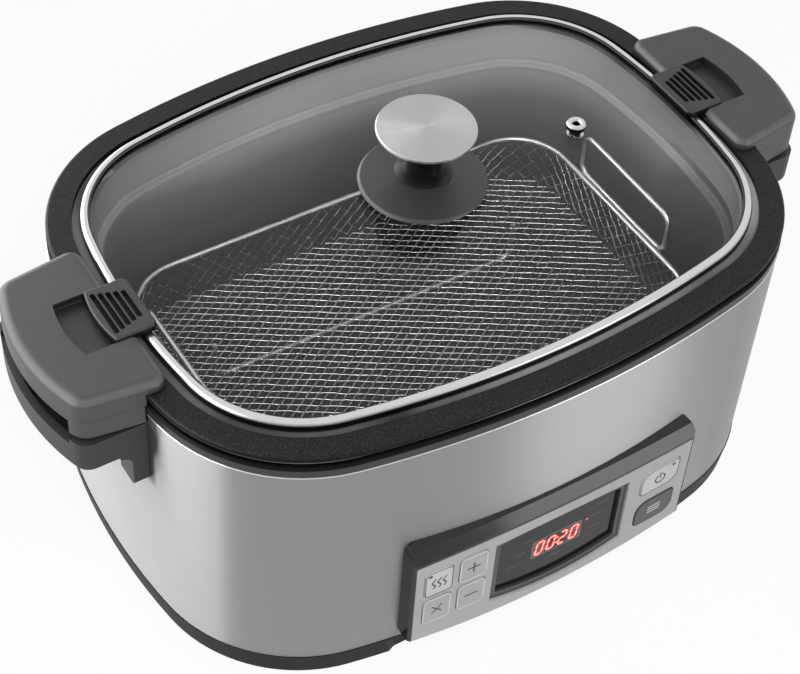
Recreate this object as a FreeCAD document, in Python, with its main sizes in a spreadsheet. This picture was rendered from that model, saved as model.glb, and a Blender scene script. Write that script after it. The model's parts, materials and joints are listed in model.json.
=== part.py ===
"""Oval digital slow cooker: steel housing, lift-out pot, glass lid, sliding latches and steaming basket.

Millimetres. +X runs along the handles, the control panel faces -Y, +Z is up, and z = 0 is the table.
"""
import FreeCAD, Part
import math
import operator
import os

import Sketcher
from FreeCAD import Placement, Rotation, Vector

DIMENSIONS = (
    # Plan of the housing: eight tangent arcs
    ("shell_half_length", 188.0),
    ("shell_half_width", 141.5),
    ("side_radius", 580.0),
    ("end_radius", 383.0),
    ("corner_radius", 87.5),
    ("shell_sheet", 0.8),
    # Clearances
    ("fit_gap", 0.2),
    ("slide_gap", 0.4),
    ("rest_gap", 0.2),
    # Base
    ("foot_height", 0.8),
    ("foot_radius", 9.0),
    ("foot_taper", 1.0),
    ("foot_seat", 1.5),
    ("foot_x", 128.0),
    ("foot_y", 84.0),
    ("base_height", 14.1),
    ("base_proud", 0.5),
    ("base_floor", 3.0),
    ("base_wall", 3.0),
    ("base_taper", 1.0),
    ("toe_depth", 10.0),
    ("toe_half_width", 88.0),
    ("toe_flare", 26.0),
    ("toe_roof", 3.0),
    ("lip_height", 4.0),
    ("lip_width", 2.5),
    ("post_radius", 6.0),
    ("post_x", 104.0),
    ("post_y", 58.0),
    ("vent_length", 44.0),
    ("vent_width", 4.0),
    ("vent_pitch", 9.0),
    ("vent_x", -40.0),
    # Shell and collar
    ("shell_height", 149.1),
    ("collar_height", 6.0),
    ("collar_width", 10.0),
    ("collar_skirt", 8.0),
    ("collar_round", 2.0),
    # Pot
    ("flange_gap", 3.0),
    ("flange_thickness", 4.2),
    ("flange_inset", 0.3),
    ("flange_round", 1.6),
    ("lid_inset", 18.0),
    ("well_gap", 4.5),
    ("well_depth", 3.2),
    ("ledge_thickness", 3.5),
    ("ledge_wall", 3.0),
    ("pot_height", 133.2),
    ("pot_wall", 3.0),
    ("pot_floor", 4.0),
    ("pot_upper_inset", 21.0),
    ("pot_lower_inset", 25.0),
    ("shoulder_depth", 24.0),
    ("shoulder_round", 1.8),
    ("pot_round", 26.0),
    # Heating
    ("liner_gap", 1.5),
    ("liner_sheet", 0.8),
    ("liner_round", 16.0),
    ("heater_inset", 70.0),
    ("heater_thickness", 9.0),
    ("heater_standoff", 8.0),
    ("heater_foot_radius", 6.0),
    ("heater_foot_x", 88.0),
    ("heater_foot_y", 52.0),
    ("element_radius", 3.5),
    ("element_half_span", 40.0),
    ("element_reach", 55.0),
    ("element_tail", 75.0),
    ("sensor_radius", 10.0),
    ("sensor_flange", 15.0),
    ("sensor_flange_thickness", 1.6),
    ("fuse_radius", 3.0),
    ("fuse_length", 24.0),
    ("fuse_y", 24.0),
    # Lid
    ("rim_height", 6.7),
    ("rim_width", 4.0),
    ("rim_sheet", 0.8),
    ("rim_round", 2.4),
    ("glass_thickness", 4.0),
    ("glass_flat", 5.0),
    ("dome_rise", 13.0),
    ("vent_hole_x", 98.0),
    ("vent_tube_radius", 3.6),
    ("vent_bore_radius", 2.0),
    ("vent_flange_radius", 5.4),
    ("vent_rise", 3.0),
    # Knob
    ("knob_disc_radius", 34.0),
    ("knob_disc_height", 6.0),
    ("knob_disc_edge", 3.0),
    ("stem_height", 28.3),
    ("stem_foot_radius", 15.0),
    ("stem_foot_height", 2.5),
    ("stem_waist_radius", 9.5),
    ("stem_top_radius", 19.0),
    ("cap_radius", 26.0),
    ("cap_edge", 2.2),
    ("cap_lip", 1.2),
    ("cap_crown", 1.6),
    ("knob_screw_radius", 2.0),
    ("knob_screw_head", 6.0),
    ("knob_screw_head_height", 3.0),
    # Control panel: a flatter curve than the housing
    ("panel_radius", 1400.0),
    ("panel_proud", 6.3),
    ("plate_half_width", 86.8),
    ("plate_thickness", 2.0),
    ("plate_top", 84.0),
    ("plate_low", 15.5),
    ("plate_bow", 6.0),
    ("bezel_edge", 2.0),
    ("bezel_bevel", 1.3),
    ("bezel_corner", 7.0),
    ("roof_front_rise", 6.5),
    ("roof_front_depth", 4.5),
    ("roof_back_rise", 3.7),
    ("roof_back_depth", 6.0),
    ("window_half_width", 84.0),
    ("window_bottom", 26.0),
    ("window_drop", 3.0),
    ("window_top", 82.8),
    # Display
    ("display_x", 2.5),
    ("display_half_width", 42.5),
    ("display_bottom", 27.0),
    ("display_top", 75.5),
    ("display_bow", 5.5),
    ("frame_width", 4.0),
    ("frame_depth", 1.4),
    ("frame_thickness", 1.8),
    ("lens_overlap", 2.0),
    ("lens_thickness", 1.8),
    ("digit_width", 6.4),
    ("digit_pitch", 7.8),
    ("digit_height", 12.5),
    ("digit_x", 2.4),
    ("digit_z", 50.2),
    ("digit_well", 0.6),
    ("led_half_width", 32.0),
    ("led_half_height", 16.0),
    # Keys
    ("key_width", 16.5),
    ("key_height", 20.0),
    ("key_round", 3.0),
    ("key_outer_x", -73.5),
    ("key_inner_x", -53.0),
    ("key_upper_z", 67.0),
    ("key_lower_z", 43.5),
    ("key_proud", 0.6),
    ("key_travel", 0.8),
    ("key_lip", 1.2),
    ("key_lip_depth", 2.0),
    ("mode_key_x", 67.0),
    ("mode_key_width", 26.0),
    ("mode_key_height", 18.5),
    ("mode_key_round", 8.0),
    ("power_key_z", 65.8),
    ("menu_key_z", 39.5),
    # Electronics
    ("board_depth", 13.0),
    ("board_thickness", 1.6),
    ("board_half_width", 76.0),
    ("board_bottom", 27.5),
    ("board_top", 82.5),
    ("board_boss_radius", 2.4),
    ("board_left_boss_x", -63.2),
    ("board_right_boss_x", 49.6),
    ("board_low_boss_z", 29.5),
    ("board_high_boss_z", 79.6),
    ("board_screw_radius", 1.2),
    ("board_screw_head", 2.3),
    ("board_screw_head_height", 1.8),
    ("switch_size", 6.0),
    ("switch_height", 3.4),
    ("plunger_radius", 1.7),
    ("power_board_length", 110.0),
    ("power_board_width", 70.0),
    ("power_board_x", 42.0),
    ("power_board_lift", 3.0),
    ("relay_length", 19.0),
    ("relay_width", 15.5),
    ("relay_height", 14.0),
    ("transformer_length", 28.0),
    ("transformer_width", 24.0),
    ("transformer_height", 14.5),
    # Mains inlet at the back
    ("inlet_z", 42.0),
    ("surround_half_width", 30.0),
    ("surround_half_height", 20.0),
    ("surround_round", 6.0),
    ("socket_half_width", 14.0),
    ("socket_half_height", 10.2),
    ("socket_wall", 2.2),
    ("socket_depth", 21.5),
    ("socket_cavity", 16.0),
    ("socket_recess", 0.5),
    ("pin_width", 2.0),
    ("pin_height", 4.0),
    ("pin_length", 9.5),
    ("pin_spread", 7.0),
    ("pin_offset", 2.0),
    # Housing handles
    ("tray_bottom", 135.8),
    ("tray_height", 20.0),
    ("tray_dip", 3.0),
    ("tray_dip_half", 40.0),
    ("tray_wall", 4.0),
    ("tray_reach", 39.6),
    ("tray_sag", 9.5),
    ("tray_half_width", 48.8),
    ("tray_corner", 9.0),
    ("tray_edge_round", 3.0),
    ("mount_thickness", 5.5),
    ("mount_leg", 15.0),
    ("mount_leg_drop", 23.0),
    ("mount_arch_rise", 19.0),
    ("mount_arch_round", 9.0),
    ("mount_root_round", 6.0),
    ("mount_tip_round", 3.0),
    ("handle_screw_radius", 2.0),
    ("handle_screw_head", 4.0),
    ("handle_screw_head_height", 2.4),
    ("handle_screw_rise", 11.0),
    ("handle_screw_bite", 4.0),
    # Pot handles
    ("grip_inner_x", 172.4),
    ("grip_inner_half", 52.0),
    ("grip_corner_x", 217.0),
    ("grip_corner_half", 46.3),
    ("grip_sag", 10.0),
    ("grip_top", 183.6),
    ("grip_split", 170.0),
    ("grip_bottom", 157.0),
    ("grip_outer_corner", 10.0),
    ("grip_inner_corner", 7.0),
    ("grip_top_round", 5.0),
    ("grip_under_round", 2.0),
    ("grip_shell_gap", 1.0),
    ("finger_half", 38.5),
    ("finger_inner_x", 197.6),
    ("finger_rise", 10.5),
    ("tab_reach", 20.0),
    ("tab_half", 42.0),
    ("grip_screw_x", 192.4),
    ("grip_screw_y", 36.5),
    ("grip_screw_radius", 1.7),
    ("grip_screw_head", 3.6),
    ("grip_screw_head_height", 2.6),
    ("grip_screw_sink", 4.0),
    ("grip_screw_bite", 8.0),
    # Latches
    ("latch_inner_x", 161.5),
    ("latch_outer_x", 186.5),
    ("latch_half", 18.4),
    ("latch_top", 185.2),
    ("latch_travel", 12.5),
    ("latch_foot_x", 175.5),
    ("latch_wing", 2.2),
    ("latch_wing_height", 1.4),
    ("latch_nose_bevel", 2.2),
    ("latch_floor", 178.3),
    ("latch_stop_gap", 1.2),
    ("recess_bow", 2.5),
    ("rib_groove", 2.6),
    ("rib_depth", 2.2),
    ("rib_pitch", 3.6),
    ("rib_half", 10.0),
    ("rib_grow", 1.2),
    ("rib_start", 167.0),
    # Basket
    ("basket_half_length", 138.5),
    ("basket_half_width", 85.5),
    ("basket_corner", 33.0),
    ("basket_rim_z", 106.0),
    ("basket_depth", 30.0),
    ("basket_wire", 1.6),
    ("basket_sheet", 1.2),
    ("basket_handle_half", 40.0),
    ("basket_handle_rise", 26.5),
    ("basket_bend", 7.0),
    ("runner_y", 45.0),
    ("runner_half", 100.0),
    ("mesh_length", 16.0),
    ("mesh_width", 10.5),
    ("mesh_strand", 1.6),
)

doc = FreeCAD.newDocument("slow_cooker")
sheet = doc.addObject("Spreadsheet::Sheet", "Sheet")


class Size:
    """A length from the sheet, or arithmetic on such lengths: a number and its expression."""

    def __init__(self, number, text):
        self.number = float(number)
        self.text = text

    def __float__(self):
        return self.number

    def __neg__(self):
        return Size(-self.number, f"(-{self.text})")

    def __add__(self, other):
        return combine(self, "+", other)

    def __radd__(self, other):
        return combine(other, "+", self)

    def __sub__(self, other):
        return combine(self, "-", other)

    def __rsub__(self, other):
        return combine(other, "-", self)

    def __mul__(self, other):
        return combine(self, "*", other)

    def __rmul__(self, other):
        return combine(other, "*", self)

    def __truediv__(self, other):
        return combine(self, "/", other)


OPERATORS = {"+": operator.add, "-": operator.sub, "*": operator.mul, "/": operator.truediv}


def size_of(value):
    """The value itself, or a plain number as a Size."""
    if isinstance(value, Size):
        return value
    return Size(value, f"({float(value)})")


def combine(left, sign, right):
    """Two sizes joined by + - * or /."""
    left = size_of(left)
    right = size_of(right)
    number = OPERATORS[sign](left.number, right.number)
    return Size(number, f"({left.text} {sign} {right.text})")


def root(value):
    """Square root of a size."""
    return Size(math.sqrt(value.number), f"sqrt({value.text})")


def swing(half_width, radius):
    """Whole angle in degrees that a width on both sides of the middle takes on a radius."""
    number = 2 * math.degrees(math.asin(float(half_width) / float(radius)))
    return Size(number, f"(2 * asin({half_width.text} / {radius.text}))")


def bow_radius(half_width, bow):
    """Radius of the arc that spans twice the half width and bulges by the bow."""
    return (half_width * half_width + bow * bow) / (2 * bow)


class Cells:
    """One attribute per sheet alias."""


d = Cells()
for row, (alias, value) in enumerate(DIMENSIONS, start=1):
    sheet.set(f"A{row}", alias.replace("_", " "))
    sheet.set(f"B{row}", str(value))
    sheet.setAlias(f"B{row}", alias)
    setattr(d, alias, Size(value, f"Sheet.{alias}"))
doc.recompute()

# Levels that several pieces share
base_top = d.foot_height + d.base_height
shell_top = base_top + d.shell_height
collar_top = shell_top + d.collar_height
flange_under = collar_top + d.flange_gap
flange_top = flange_under + d.flange_thickness
seat_level = flange_top - d.well_depth
shoulder_level = seat_level - d.shoulder_depth
pot_bottom = flange_top - d.pot_height
pot_inside = pot_bottom + d.pot_floor
heater_top = pot_bottom - d.rest_gap
heater_under = heater_top - d.heater_thickness
liner_inside = heater_under - d.heater_standoff
liner_bottom = liner_inside - d.liner_sheet
rim_bottom = seat_level + d.rest_gap
rim_top = rim_bottom + d.rim_height
glass_edge_bottom = rim_bottom + d.rim_sheet + d.fit_gap
glass_edge_top = glass_edge_bottom + d.glass_thickness
panel_front = d.shell_half_width + d.panel_proud
panel_axis = d.panel_radius - panel_front
board_front = panel_front - d.board_depth
basket_floor_z = d.basket_rim_z - d.basket_depth
SIDES = (("left", -1), ("right", 1))
CORNERS = ((-1, -1), (1, -1), (1, 1), (-1, 1))
FAR = 200.0
nodes = []


def bind(obj, path, value):
    """Ties a property to the sheet."""
    obj.setExpression(path, size_of(value).text)


def new_body(label):
    """A sub-part made of sketches and features."""
    body = doc.addObject("PartDesign::Body", label)
    body.Label = label
    nodes.append(body)
    return body


def new_sketch(body, role, offset=0.0, shift=0.0):
    """A sketch on one of the body's origin planes, moved along its normal and along its own X."""
    plane = next(item for item in body.Origin.OriginFeatures if item.Role == role)
    sketch = body.newObject("Sketcher::SketchObject", "Sketch")
    sketch.AttachmentSupport = [(plane, "")]
    sketch.MapMode = "FlatFace"
    bind(sketch, "AttachmentOffset.Base.z", offset)
    bind(sketch, "AttachmentOffset.Base.x", shift)
    return sketch


def flat(body, height):
    """A horizontal sketch at a height."""
    return new_sketch(body, "XY_Plane", height)


def front(body, distance=0.0):
    """A sketch seen from the front, at a distance towards -Y."""
    return new_sketch(body, "XZ_Plane", distance)


def constrain(sketch, *terms):
    """Adds a constraint whose last term is a size."""
    index = sketch.addConstraint(Sketcher.Constraint(*terms[:-1], float(terms[-1])))
    bind(sketch, f"Constraints[{index}]", terms[-1])


def hold(sketch, geometry, point, x, y):
    """Holds a point of the geometry at its coordinates."""
    constrain(sketch, "DistanceX", -1, 1, geometry, point, x)
    constrain(sketch, "DistanceY", -1, 1, geometry, point, y)


def circle(sketch, x, y, radius):
    """A circle held by its centre and radius."""
    shape = Part.Circle(Vector(float(x), float(y), 0), Vector(0, 0, 1), float(radius))
    index = sketch.addGeometry(shape)
    hold(sketch, index, 3, x, y)
    constrain(sketch, "Radius", index, radius)


def arc_between(start, end, radius):
    """Counter-clockwise arc of under a half circle from start to end."""
    chord = end - start
    half = chord.Length / 2
    normal = Vector(-chord.y, chord.x, 0).normalize()
    centre = (start + end) / 2 + normal * math.sqrt(radius * radius - half * half)
    first = math.atan2(start.y - centre.y, start.x - centre.x)
    last = math.atan2(end.y - centre.y, end.x - centre.x)
    return Part.ArcOfCircle(Part.Circle(centre, Vector(0, 0, 1), radius), first, last)


def outline(sketch, corners, arcs=None, closed=True):
    """Lines and arcs through corners. arcs gives the radius of the stretch after a corner, and a
    negative radius bends the other way."""
    arcs = arcs or {}
    count = len(corners) if closed else len(corners) - 1
    points = [Vector(float(x), float(y), 0) for x, y in corners]
    ends = []
    for index in range(count):
        start = points[index]
        end = points[(index + 1) % len(points)]
        radius = arcs.get(index)
        if radius is None:
            geometry = sketch.addGeometry(Part.LineSegment(start, end))
            ends.append((geometry, 1, 2))
        elif float(radius) > 0:
            geometry = sketch.addGeometry(arc_between(start, end, float(radius)))
            constrain(sketch, "Radius", geometry, radius)
            ends.append((geometry, 1, 2))
        else:
            geometry = sketch.addGeometry(arc_between(end, start, -float(radius)))
            constrain(sketch, "Radius", geometry, -radius)
            ends.append((geometry, 2, 1))
    for index in range(count - (0 if closed else 1)):
        geometry, _, last = ends[index]
        following, first, _ = ends[(index + 1) % count]
        sketch.addConstraint(Sketcher.Constraint("Coincident", geometry, last, following, first))
    for index in range(count):
        geometry, first, _ = ends[index]
        hold(sketch, geometry, first, *corners[index])
    if not closed:
        geometry, _, last = ends[-1]
        hold(sketch, geometry, last, *corners[-1])


def box_outline(sketch, left, right, low, high, radii=None):
    """A rectangle; radii are those of its corners: low left, low right, high right, high left."""
    if radii is None:
        outline(sketch, [(left, low), (right, low), (right, high), (left, high)])
        return
    a, b, c, e = radii
    corners = [
        (left + a, low), (right - b, low), (right, low + b), (right, high - c),
        (right - c, high), (left + e, high), (left, high - e), (left, low + a),
    ]
    outline(sketch, corners, {1: b, 3: c, 5: e, 7: a})


def plan(sketch, inset=0.0, scale=1.0):
    """The housing's plan, moved inwards and then scaled: eight arcs, each tangent to the next."""
    inset = size_of(inset)
    side = (d.side_radius - inset) * scale
    end = (d.end_radius - inset) * scale
    corner = (d.corner_radius - inset) * scale
    end_shift = (d.end_radius - d.shell_half_length) * scale
    side_shift = (d.side_radius - d.shell_half_width) * scale
    centres, turns = plan_arcs(float(side), float(end), float(corner), float(end_shift), float(side_shift))
    radii = (end, corner, side, corner) * 2
    first = None
    for index in range(8):
        disc = Part.Circle(centres[index], Vector(0, 0, 1), float(radii[index]))
        arc = sketch.addGeometry(Part.ArcOfCircle(disc, turns[index], turns[index + 1]))
        first = arc if first is None else first
    for index in range(8):
        following = first + (index + 1) % 8
        sketch.addConstraint(Sketcher.Constraint("Tangent", first + index, 2, following, 1))
        constrain(sketch, "Radius", first + index, radii[index])
    constrain(sketch, "DistanceX", first, 3, -1, 1, end_shift)
    constrain(sketch, "DistanceX", -1, 1, first + 4, 3, end_shift)
    constrain(sketch, "DistanceY", first + 2, 3, -1, 1, side_shift)
    constrain(sketch, "DistanceY", -1, 1, first + 6, 3, side_shift)
    for index in (0, 4):
        sketch.addConstraint(Sketcher.Constraint("PointOnObject", first + index, 3, -1))
    for index in (2, 6):
        sketch.addConstraint(Sketcher.Constraint("PointOnObject", first + index, 3, -2))


def plan_arcs(side, end, corner, end_shift, side_shift):
    """Centres of the eight arcs, from the right end counter-clockwise, and the angles between them."""
    end_centre = Vector(-end_shift, 0, 0)
    side_centre = Vector(0, -side_shift, 0)
    gap = end_centre - side_centre
    along = ((side - corner) ** 2 - (end - corner) ** 2 + gap.Length ** 2) / (2 * gap.Length)
    across = math.sqrt((side - corner) ** 2 - along ** 2)
    ahead = Vector(gap).normalize()
    outwards = Vector(ahead.y, -ahead.x, 0)
    corner_centre = side_centre + ahead * along + outwards * across
    low = math.atan2(corner_centre.y - end_centre.y, corner_centre.x - end_centre.x)
    high = math.atan2(corner_centre.y - side_centre.y, corner_centre.x - side_centre.x)
    x = corner_centre.x
    y = corner_centre.y
    corner_centres = (Vector(x, y, 0), Vector(-x, y, 0), Vector(-x, -y, 0), Vector(x, -y, 0))
    centres = []
    for index, main in enumerate((end_centre, side_centre, -end_centre, -side_centre)):
        centres += [main, corner_centres[index]]
    half = math.pi
    turns = [-low, low, high, half - high, half - low, half + low, half + high, 2 * half - high, 2 * half - low]
    return centres, turns


def pad(body, sketch, length, reverse=False):
    """Adds the sketch's area along its normal."""
    feature = body.newObject("PartDesign::Pad", "Pad")
    feature.Profile = sketch
    feature.Reversed = reverse
    bind(feature, "Length", length)
    return feature


def pocket(body, sketch, length=None, reverse=False, symmetric=False):
    """Cuts the sketch's area against its normal, right through if no length is given."""
    feature = body.newObject("PartDesign::Pocket", "Pocket")
    feature.Profile = sketch
    feature.Reversed = reverse
    if symmetric:
        feature.SideType = "Symmetric"
    if length is None:
        feature.Type = "ThroughAll"
    else:
        bind(feature, "Length", length)
    return feature


def revolve(body, sketch):
    """Turns the sketch about its own vertical axis."""
    feature = body.newObject("PartDesign::Revolution", "Revolution")
    feature.Profile = sketch
    feature.ReferenceAxis = (sketch, ["V_Axis"])
    feature.Angle = 360
    return feature


def round_edges(body, radius, chosen, bevel=False):
    """Rounds or bevels the edges of the body so far for which chosen(edge) is true."""
    doc.recompute()
    base = body.Tip
    names = [f"Edge{index}" for index, edge in enumerate(base.Shape.Edges, start=1) if chosen(edge)]
    if not names:
        raise RuntimeError(f"{body.Label}: no edge to round")
    feature = body.newObject("PartDesign::Chamfer" if bevel else "PartDesign::Fillet", "Round")
    feature.Base = (base, names)
    bind(feature, "Size" if bevel else "Radius", radius)
    return feature


def at_height(height):
    """Chooses edges that lie level at a height."""
    level = float(height)

    def chosen(edge):
        box = edge.BoundBox
        return abs(box.ZMin - level) < 1e-4 and abs(box.ZMax - level) < 1e-4
    return chosen


def upright_near(*places):
    """Chooses upright edges that stand within a few millimetres of a place in plan."""
    reach = 3.0

    def chosen(edge):
        box = edge.BoundBox
        if box.XLength > 1e-4 or box.YLength > 1e-4:
            return False
        return any(math.hypot(box.XMin - float(x), box.YMin - float(y)) < reach for x, y in places)
    return chosen


def simple(kind, name, place, turn=None, **sizes):
    """A Part primitive with bound sizes, moved to a place."""
    item = doc.addObject(f"Part::{kind}", name)
    if turn:
        item.Placement = Placement(Vector(), turn)
    for key, value in sizes.items():
        bind(item, key, value)
    for axis, value in zip("xyz", place):
        bind(item, f"Placement.Base.{axis}", value)
    return item


def joined(label, items):
    """Several shapes fused to one solid."""
    item = doc.addObject("Part::MultiFuse", label)
    item.Shapes = items
    return item


def group(label, items):
    """A node of several separate solids."""
    item = doc.addObject("Part::Compound", label)
    item.Links = items
    item.Label = label
    nodes.append(item)
    return item


def single(label, item):
    """Names an object as a node."""
    item.Label = label
    nodes.append(item)
    return item


def fixed_shape(label, shape):
    """A node whose shape is set directly."""
    item = doc.addObject("Part::Feature", label)
    item.Label = label
    item.Shape = shape
    item.Placement = Placement()
    nodes.append(item)
    return item


# Directions in which a primitive's own Z axis can point
UP = Rotation()
TO_FRONT = Rotation(Vector(1, 0, 0), 90)
TO_BACK = Rotation(Vector(1, 0, 0), -90)
TO_RIGHT = Rotation(Vector(0, 1, 0), 90)
TO_LEFT = Rotation(Vector(0, 1, 0), -90)


def screw(name, place, turn, along, head_radius, head_height, radius, length):
    """A screw: its head starts at the place and its shank follows, along one axis."""
    axis, sign = along
    head = simple("Cylinder", f"{name}_head", place, turn, Radius=head_radius, Height=head_height)
    foot = list(place)
    foot[axis] = foot[axis] + head_height * sign
    shank = simple("Cylinder", f"{name}_shank", foot, turn, Radius=radius, Height=length)
    return joined(name, [head, shank])


def outer_shell():
    """Bent steel band with openings for the panel, the inlet and the handle screws."""
    body = new_body("outer_shell")
    sketch = flat(body, base_top)
    plan(sketch)
    plan(sketch, d.shell_sheet)
    pad(body, sketch, d.shell_height)
    sketch = front(body)
    low = d.window_bottom - d.window_drop
    box_outline(sketch, -d.window_half_width, d.window_half_width, low, d.window_top)
    pocket(body, sketch, FAR, reverse=True)
    sketch = front(body)
    gap = d.slide_gap
    box_outline(
        sketch, -d.socket_half_width - gap, d.socket_half_width + gap,
        d.inlet_z - d.socket_half_height - gap, d.inlet_z + d.socket_half_height + gap,
    )
    pocket(body, sketch, FAR)
    sketch = new_sketch(body, "YZ_Plane")
    for sign in (-1, 1):
        circle(sketch, handle_screw_y * sign, handle_screw_z, d.handle_screw_radius + d.fit_gap)
    pocket(body, sketch, symmetric=True)


def base_tray():
    """Moulded bottom tray with a toe recess under the panel, posts for the liner and vents."""
    body = new_body("base_tray")
    lower = flat(body, d.foot_height)
    plan(lower, d.base_taper)
    upper = flat(body, base_top)
    plan(upper, -d.base_proud)
    skirt = body.newObject("PartDesign::AdditiveLoft", "Skirt")
    skirt.Profile = lower
    skirt.Sections = [upper]
    skirt.Ruled = True
    sketch = flat(body, d.foot_height)
    toe_back = d.toe_depth - d.shell_half_width
    toe_front = toe_back - FAR
    flare = d.toe_half_width + d.toe_flare
    corners = [
        (-flare - FAR, toe_front), (flare + FAR, toe_front), (flare, toe_back - d.toe_depth - d.base_proud),
        (d.toe_half_width, toe_back), (-d.toe_half_width, toe_back), (-flare, toe_back - d.toe_depth - d.base_proud),
    ]
    outline(sketch, corners)
    pocket(body, sketch, d.base_height - d.toe_roof, reverse=True)
    sketch = flat(body, base_top)
    plan(sketch, d.toe_depth + d.base_wall)
    pocket(body, sketch, d.base_height - d.base_floor)
    sketch = flat(body, base_top)
    lip_inset = d.shell_sheet + d.fit_gap
    plan(sketch, lip_inset)
    plan(sketch, lip_inset + d.lip_width)
    pad(body, sketch, d.lip_height)
    floor_top = d.foot_height + d.base_floor
    sketch = flat(body, floor_top)
    for x, y in CORNERS:
        circle(sketch, d.post_x * x, d.post_y * y, d.post_radius)
    pad(body, sketch, liner_bottom - floor_top)
    sketch = flat(body, floor_top)
    for x, y in CORNERS:
        circle(sketch, power_hole_x(x), power_hole_y(y), d.handle_screw_head)
    pad(body, sketch, d.power_board_lift)
    sketch = flat(body, d.foot_height)
    for x, y in CORNERS:
        circle(sketch, d.foot_x * x, d.foot_y * y, d.foot_radius + d.fit_gap)
    pocket(body, sketch, d.foot_seat, reverse=True)
    sketch = flat(body, d.foot_height)
    for x, y in CORNERS:
        circle(sketch, d.post_x * x, d.post_y * y, d.handle_screw_head + d.fit_gap)
    pocket(body, sketch, d.handle_screw_head_height, reverse=True)
    sketch = flat(body, d.foot_height)
    for x, y in CORNERS:
        circle(sketch, d.post_x * x, d.post_y * y, d.handle_screw_radius + d.fit_gap)
    pocket(body, sketch, base_screw_length + d.handle_screw_head_height, reverse=True)
    sketch = flat(body, d.foot_height)
    for step in range(-2, 3):
        middle = d.vent_pitch * step
        box_outline(
            sketch, d.vent_x - d.vent_length, d.vent_x - d.fit_gap,
            middle - d.vent_width / 2, middle + d.vent_width / 2,
            [d.vent_width / 2 - d.fit_gap] * 4,
        )
    pocket(body, sketch, d.base_floor, reverse=True)


def power_hole_x(sign):
    """Places of the power board's bosses along X."""
    return d.power_board_x + (d.power_board_length / 2 - d.handle_screw_head) * sign


def power_hole_y(sign):
    """Places of the power board's bosses along Y."""
    return (d.power_board_width / 2 - d.handle_screw_head) * sign


def rubber_feet():
    """Four tapered feet pressed into the tray."""
    feet = []
    for index, (x, y) in enumerate(CORNERS):
        place = (d.foot_x * x, d.foot_y * y, 0.0)
        feet.append(simple(
            "Cone", f"foot_{index}", place, Radius1=d.foot_radius - d.foot_taper,
            Radius2=d.foot_radius, Height=d.foot_height + d.foot_seat,
        ))
    group("rubber_feet", feet)


def base_screws():
    """Screws up through the tray into its liner posts."""
    screws = []
    for index, (x, y) in enumerate(CORNERS):
        place = (d.post_x * x, d.post_y * y, d.foot_height + d.fit_gap)
        screws.append(screw(
            f"base_screw_{index}", place, UP, (2, 1), d.handle_screw_head,
            d.handle_screw_head_height - d.fit_gap, d.handle_screw_radius, base_screw_length,
        ))
    group("base_screws", screws)


def top_collar():
    """Moulded ring on the shell's top edge."""
    body = new_body("top_collar")
    sketch = flat(body, shell_top)
    plan(sketch)
    plan(sketch, d.collar_width)
    pad(body, sketch, d.collar_height)
    round_edges(body, d.collar_round, at_height(collar_top))
    sketch = flat(body, shell_top - d.collar_skirt)
    plan(sketch, d.shell_sheet + d.fit_gap)
    plan(sketch, skirt_inset)
    pad(body, sketch, d.collar_skirt)


def heat_liner():
    """Thin pan inside the housing that holds the heater and takes the pot."""
    body = new_body("heat_liner")
    sketch = flat(body, shell_top - d.liner_sheet)
    plan(sketch, skirt_inset + d.fit_gap)
    pad(body, sketch, d.liner_sheet)
    sketch = flat(body, liner_bottom)
    plan(sketch, liner_inner_inset - d.liner_sheet)
    pad(body, sketch, shell_top - liner_bottom)
    sketch = flat(body, shell_top)
    plan(sketch, liner_inner_inset)
    pocket(body, sketch, shell_top - liner_inside)
    round_edges(body, d.liner_round, at_height(liner_inside))
    round_edges(body, d.liner_round + d.liner_sheet, at_height(liner_bottom))
    sketch = flat(body, liner_inside)
    circle(sketch, 0.0, 0.0, d.sensor_radius)
    pocket(body, sketch, d.liner_sheet)


def heater_plate():
    """Cast plate on four feet, with a bore for the temperature sensor."""
    body = new_body("heater_plate")
    sketch = flat(body, heater_under)
    plan(sketch, d.heater_inset)
    pad(body, sketch, d.heater_thickness)
    round_edges(body, d.collar_round, at_height(heater_top))
    sketch = flat(body, liner_inside)
    for x, y in CORNERS:
        circle(sketch, d.heater_foot_x * x, d.heater_foot_y * y, d.heater_foot_radius)
    pad(body, sketch, d.heater_standoff)
    sketch = flat(body, heater_top)
    circle(sketch, 0.0, 0.0, d.sensor_radius + d.fit_gap)
    pocket(body, sketch, d.heater_thickness)


def heating_element():
    """Hairpin tube under the heater plate."""
    body = new_body("heating_element")
    level = heater_under - d.element_radius - d.fit_gap
    path = flat(body, level)
    half = d.element_half_span
    corners = [(-d.element_tail, -half), (d.element_reach, -half), (d.element_reach + half, 0.0)]
    corners += [(d.element_reach, half), (-d.element_tail, half)]
    outline(path, corners, {1: half, 2: half}, closed=False)
    section = new_sketch(body, "YZ_Plane", -d.element_tail)
    circle(section, -half, level, d.element_radius)
    pipe = body.newObject("PartDesign::AdditivePipe", "Tube")
    pipe.Profile = section
    pipe.Spine = (path, ["Edge1", "Edge2", "Edge3", "Edge4"])


def sensor_and_fuse():
    """Temperature sensor in the plate's bore and a thermal fuse under the plate."""
    flange_low = heater_under - d.fit_gap - d.sensor_flange_thickness
    cap = simple(
        "Cylinder", "sensor_cap", (0.0, 0.0, flange_low), Radius=d.sensor_radius,
        Height=heater_top - d.rest_gap - flange_low,
    )
    flange = simple(
        "Cylinder", "sensor_flange", (0.0, 0.0, flange_low), Radius=d.sensor_flange,
        Height=d.sensor_flange_thickness,
    )
    single("temperature_sensor", joined("sensor_body", [cap, flange]))
    place = (-d.fuse_length / 2, d.fuse_y, heater_under - d.fit_gap - d.fuse_radius)
    single("thermal_fuse", simple(
        "Cylinder", "fuse_body", place, TO_RIGHT, Radius=d.fuse_radius, Height=d.fuse_length,
    ))


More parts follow.
